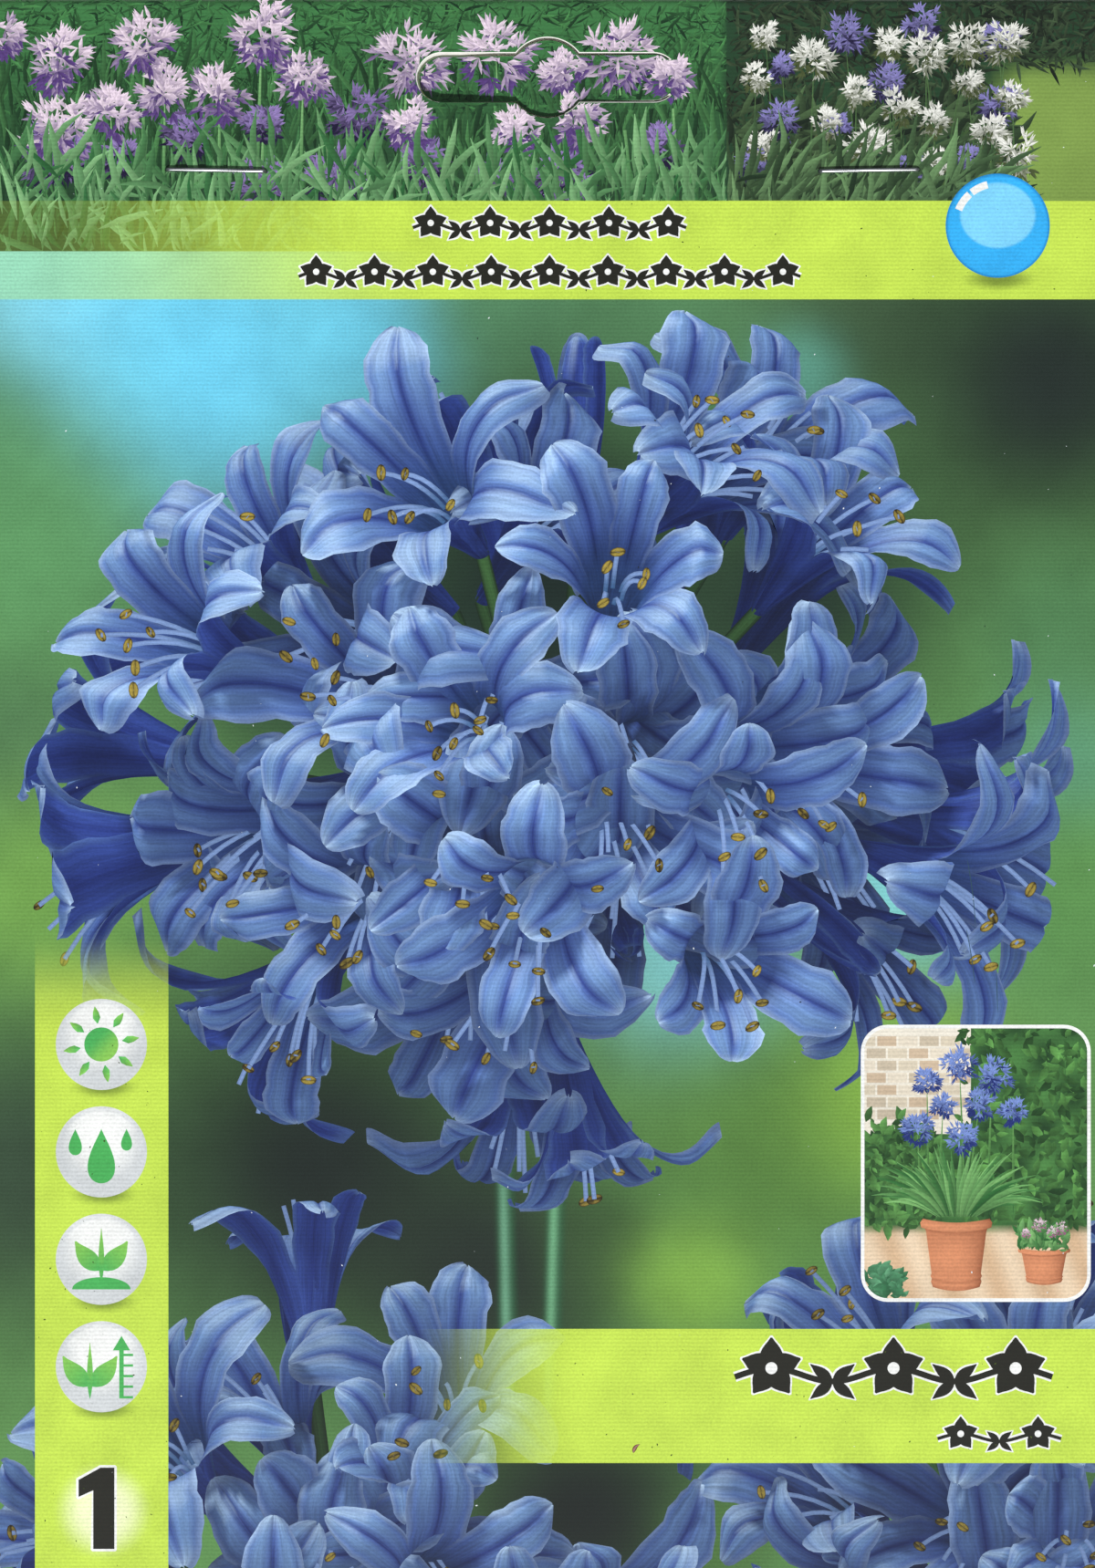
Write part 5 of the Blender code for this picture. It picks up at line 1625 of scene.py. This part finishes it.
draw = np.random.default_rng(12)
CHIPS = 620
row = np.linspace(-1, 1, 5)[:, None]
column = np.linspace(-1, 1, 3)
heading = draw.uniform(0, 2 * math.pi, CHIPS)[:, None, None]
long = draw.uniform(1.5, 4.5, CHIPS)[:, None, None]
wide = draw.uniform(0.4, 1.3, CHIPS)[:, None, None] * (1 - 0.35 * row**2)
across = np.cos(heading) * row * long - np.sin(heading) * column * wide
along = np.sin(heading) * row * long + np.cos(heading) * column * wide
chip_y = draw.uniform(PEAT_BOTTOM_Y + 5, PEAT_TOP_Y - 2, CHIPS)[:, None, None]
chip_q = draw.uniform(0, 4, CHIPS)[:, None, None]
_, radius, flat = bag_section(chip_y)
stride = np.where(np.floor(chip_q) % 2 == 0, math.pi * radius, 2 * flat)
curl = draw.uniform(0.0, 0.9, CHIPS)[:, None, None]
inset = 0.75 + curl * row**2 + draw.uniform(0, 0.2, CHIPS)[:, None, None] + 0 * across
skin = bag_skin(chip_y + along, chip_q + across / stride, inset)
chips = add_piece("wood_shavings", [solid_part(skin)], pine_shaving())
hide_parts("peat_fill")


# The rootstock bedded in the peat: one short crown with seven fleshy roots and two buds that point towards
# the neck. Dry tan skin, ringed where the roots have shrunk.

# The crown's middle, its width, length and thickness. Each bud: its x, its radius, and its lean in degrees.
CROWN_Y = 25.0
CROWN_SIZE = (21.0, 26.0, 12.5)
ROOTS = 7
ROOT_LENGTH = 84.0
ROOT_SPREAD = math.radians(25.0)
BUDS = ((-4.4, 3.6, 8.0), (4.8, 3.0, -12.0))
BUD_LENGTH = 15.0


def root_skin():
    """Corky root skin: matt tan, darker in shrunken rings 2.4 mm apart, with soil stains 6 mm across."""
    made, tree, shader = finish_of("corky_root_skin", {"Roughness": 0.75})
    place = add(tree, "TexCoord").outputs["Object"]
    ringed = {"bands_direction": "Y", "Scale": 0.13 / MM, "Distortion": 6.0}
    rings = add(tree, "TexWave", ringed, [(place, "Vector")]).outputs["Fac"]
    stain = add(tree, "TexNoise", {"Scale": 0.18 / MM, "Detail": 4.0}, [(place, "Vector")]).outputs["Fac"]
    level = add(tree, "Math", {"operation": "MULTIPLY_ADD", 1: 0.25}, [(rings, 0), (stain, 2)])
    tans = [(0.35, "#4A3018"), (0.6, "#8A6238"), (0.85, "#C49A62")]
    tan = add(tree, "ValToRGB", {"stops": tans}, [(level, "Fac")])
    join(tree, tan, shader, "Base Color")
    bump = add(tree, "Bump", {"Strength": 0.7, "Distance": 0.3 * MM}, [(level, "Height")])
    join(tree, bump, shader, "Normal")
    return made


ROOT_Z = BAG_THICK / 2
along = np.linspace(-0.99, 0.99, 40)
crown = np.zeros((1, 40, 3)) + (0.0, CROWN_Y, ROOT_Z)
crown[..., 1] += along * CROWN_SIZE[1] / 2
swell = CROWN_SIZE[0] / 2 * np.sqrt(1 - along**2) * (1 + 0.04 * np.sin(along * 26.0))
parts = [solid_part(tubes(crown, swell[None], 40, (0, 0, 1), CROWN_SIZE[2] / CROWN_SIZE[0]))]
k = np.arange(ROOTS)[:, None]
share = np.linspace(0, 1, 70)[None]
part = k / (ROOTS - 1) * 2.0 - 1.0
lean = part * ROOT_SPREAD
length = ROOT_LENGTH * (1.0 - 0.2 * np.abs(np.sin(k * 2.1)))
sway = 2.6 * share * np.sin(share * 5.0 + k * 1.9)
x = part * CROWN_SIZE[0] * 0.36 + np.sin(lean) * share * length * 0.9 + sway
y = CROWN_Y - CROWN_SIZE[1] * 0.28 - np.cos(lean) * share * length
z = ROOT_Z + 3.4 * np.sin(k * 2.4) * np.sin(share * 3.0)
wrinkles = 1 + 0.05 * np.sin(share * 150.0 + k)
thick = 2.1 * (1.0 - 0.62 * share**1.6) * wrinkles * np.minimum(1, (1.004 - share) * 30)
parts.append(solid_part(tubes(np.stack([x, y, z], axis=-1), thick, 14, (0, 0, 1))))
for x, radius, lean in BUDS:
    share = np.linspace(0, 1, 26)[:, None]
    lean = math.radians(lean)
    way = np.array([-math.sin(lean), math.cos(lean), 0.1])
    path = np.array([x, CROWN_Y + CROWN_SIZE[1] * 0.3, ROOT_Z]) + share * BUD_LENGTH * way
    scales = 1 + 0.1 * ((share[:, 0] * 4.0) % 1.0)
    thick = radius * (1 - 0.78 * share[:, 0] ** 1.8) * scales * np.minimum(1, (1.01 - share[:, 0]) * 12)
    parts.append(solid_part(tubes(path[None], thick[None], 20, (0, 0, 1))))
root = add_piece("crown_and_roots", parts, root_skin())
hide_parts("rootstock")


# The floor, the light and the camera. The light comes low from the picture's lower side, as under a scanner.
# The camera looks straight down, so near that the card's edges lie just outside the frame, as in the scan.

floor_mesh = bpy.data.meshes.new("floor")
floor_mesh.from_pydata([(-2, -2, 0), (2, -2, 0), (2, 2, 0), (-2, 2, 0)], [], [(0, 1, 2, 3)])
floor = bpy.data.objects.new("floor", floor_mesh)
bpy.context.scene.collection.objects.link(floor)
paper, _, _ = finish_of("floor_paper", {"Base Color": (*linear("#E6E6E3"), 1), "Roughness": 0.8})
floor_mesh.materials.append(paper)


def sun_lamp(name, way, strength, spread):
    """A distant lamp that shines along a way, with the spread of its disc in degrees."""
    lamp = bpy.data.lights.new(name, "SUN")
    lamp.energy = strength
    lamp.angle = math.radians(spread)
    made = bpy.data.objects.new(name, lamp)
    made.rotation_euler = Vector(way).to_track_quat("-Z", "Y").to_euler()
    bpy.context.scene.collection.objects.link(made)


sun_lamp("scanner_side", (0.0, 1.0, -1.15), 3.4, 3.0)
sun_lamp("far_side", (-0.3, -0.8, -1.2), 0.2, 40.0)
world = bpy.data.worlds.new("studio")
world.use_nodes = True
world.node_tree.nodes["Background"].inputs["Color"].default_value = (0.9, 0.95, 1.0, 1)
world.node_tree.nodes["Background"].inputs["Strength"].default_value = 0.2
bpy.context.scene.world = world
bpy.context.scene.view_settings.view_transform = "Standard"

LENS = 90.0
SENSOR = 36.0
CARD_SHOWN = 0.997
lens = bpy.data.cameras.new("camera")
lens.lens = LENS
lens.sensor_width = SENSOR
lens.clip_end = 10.0
camera = bpy.data.objects.new("camera", lens)
camera.location = (0.0, 0.0, (FACE_Z + CARD_SHOWN * (TOP - BOTTOM) * LENS / SENSOR) * MM)
bpy.context.scene.collection.objects.link(camera)
bpy.context.scene.camera = camera
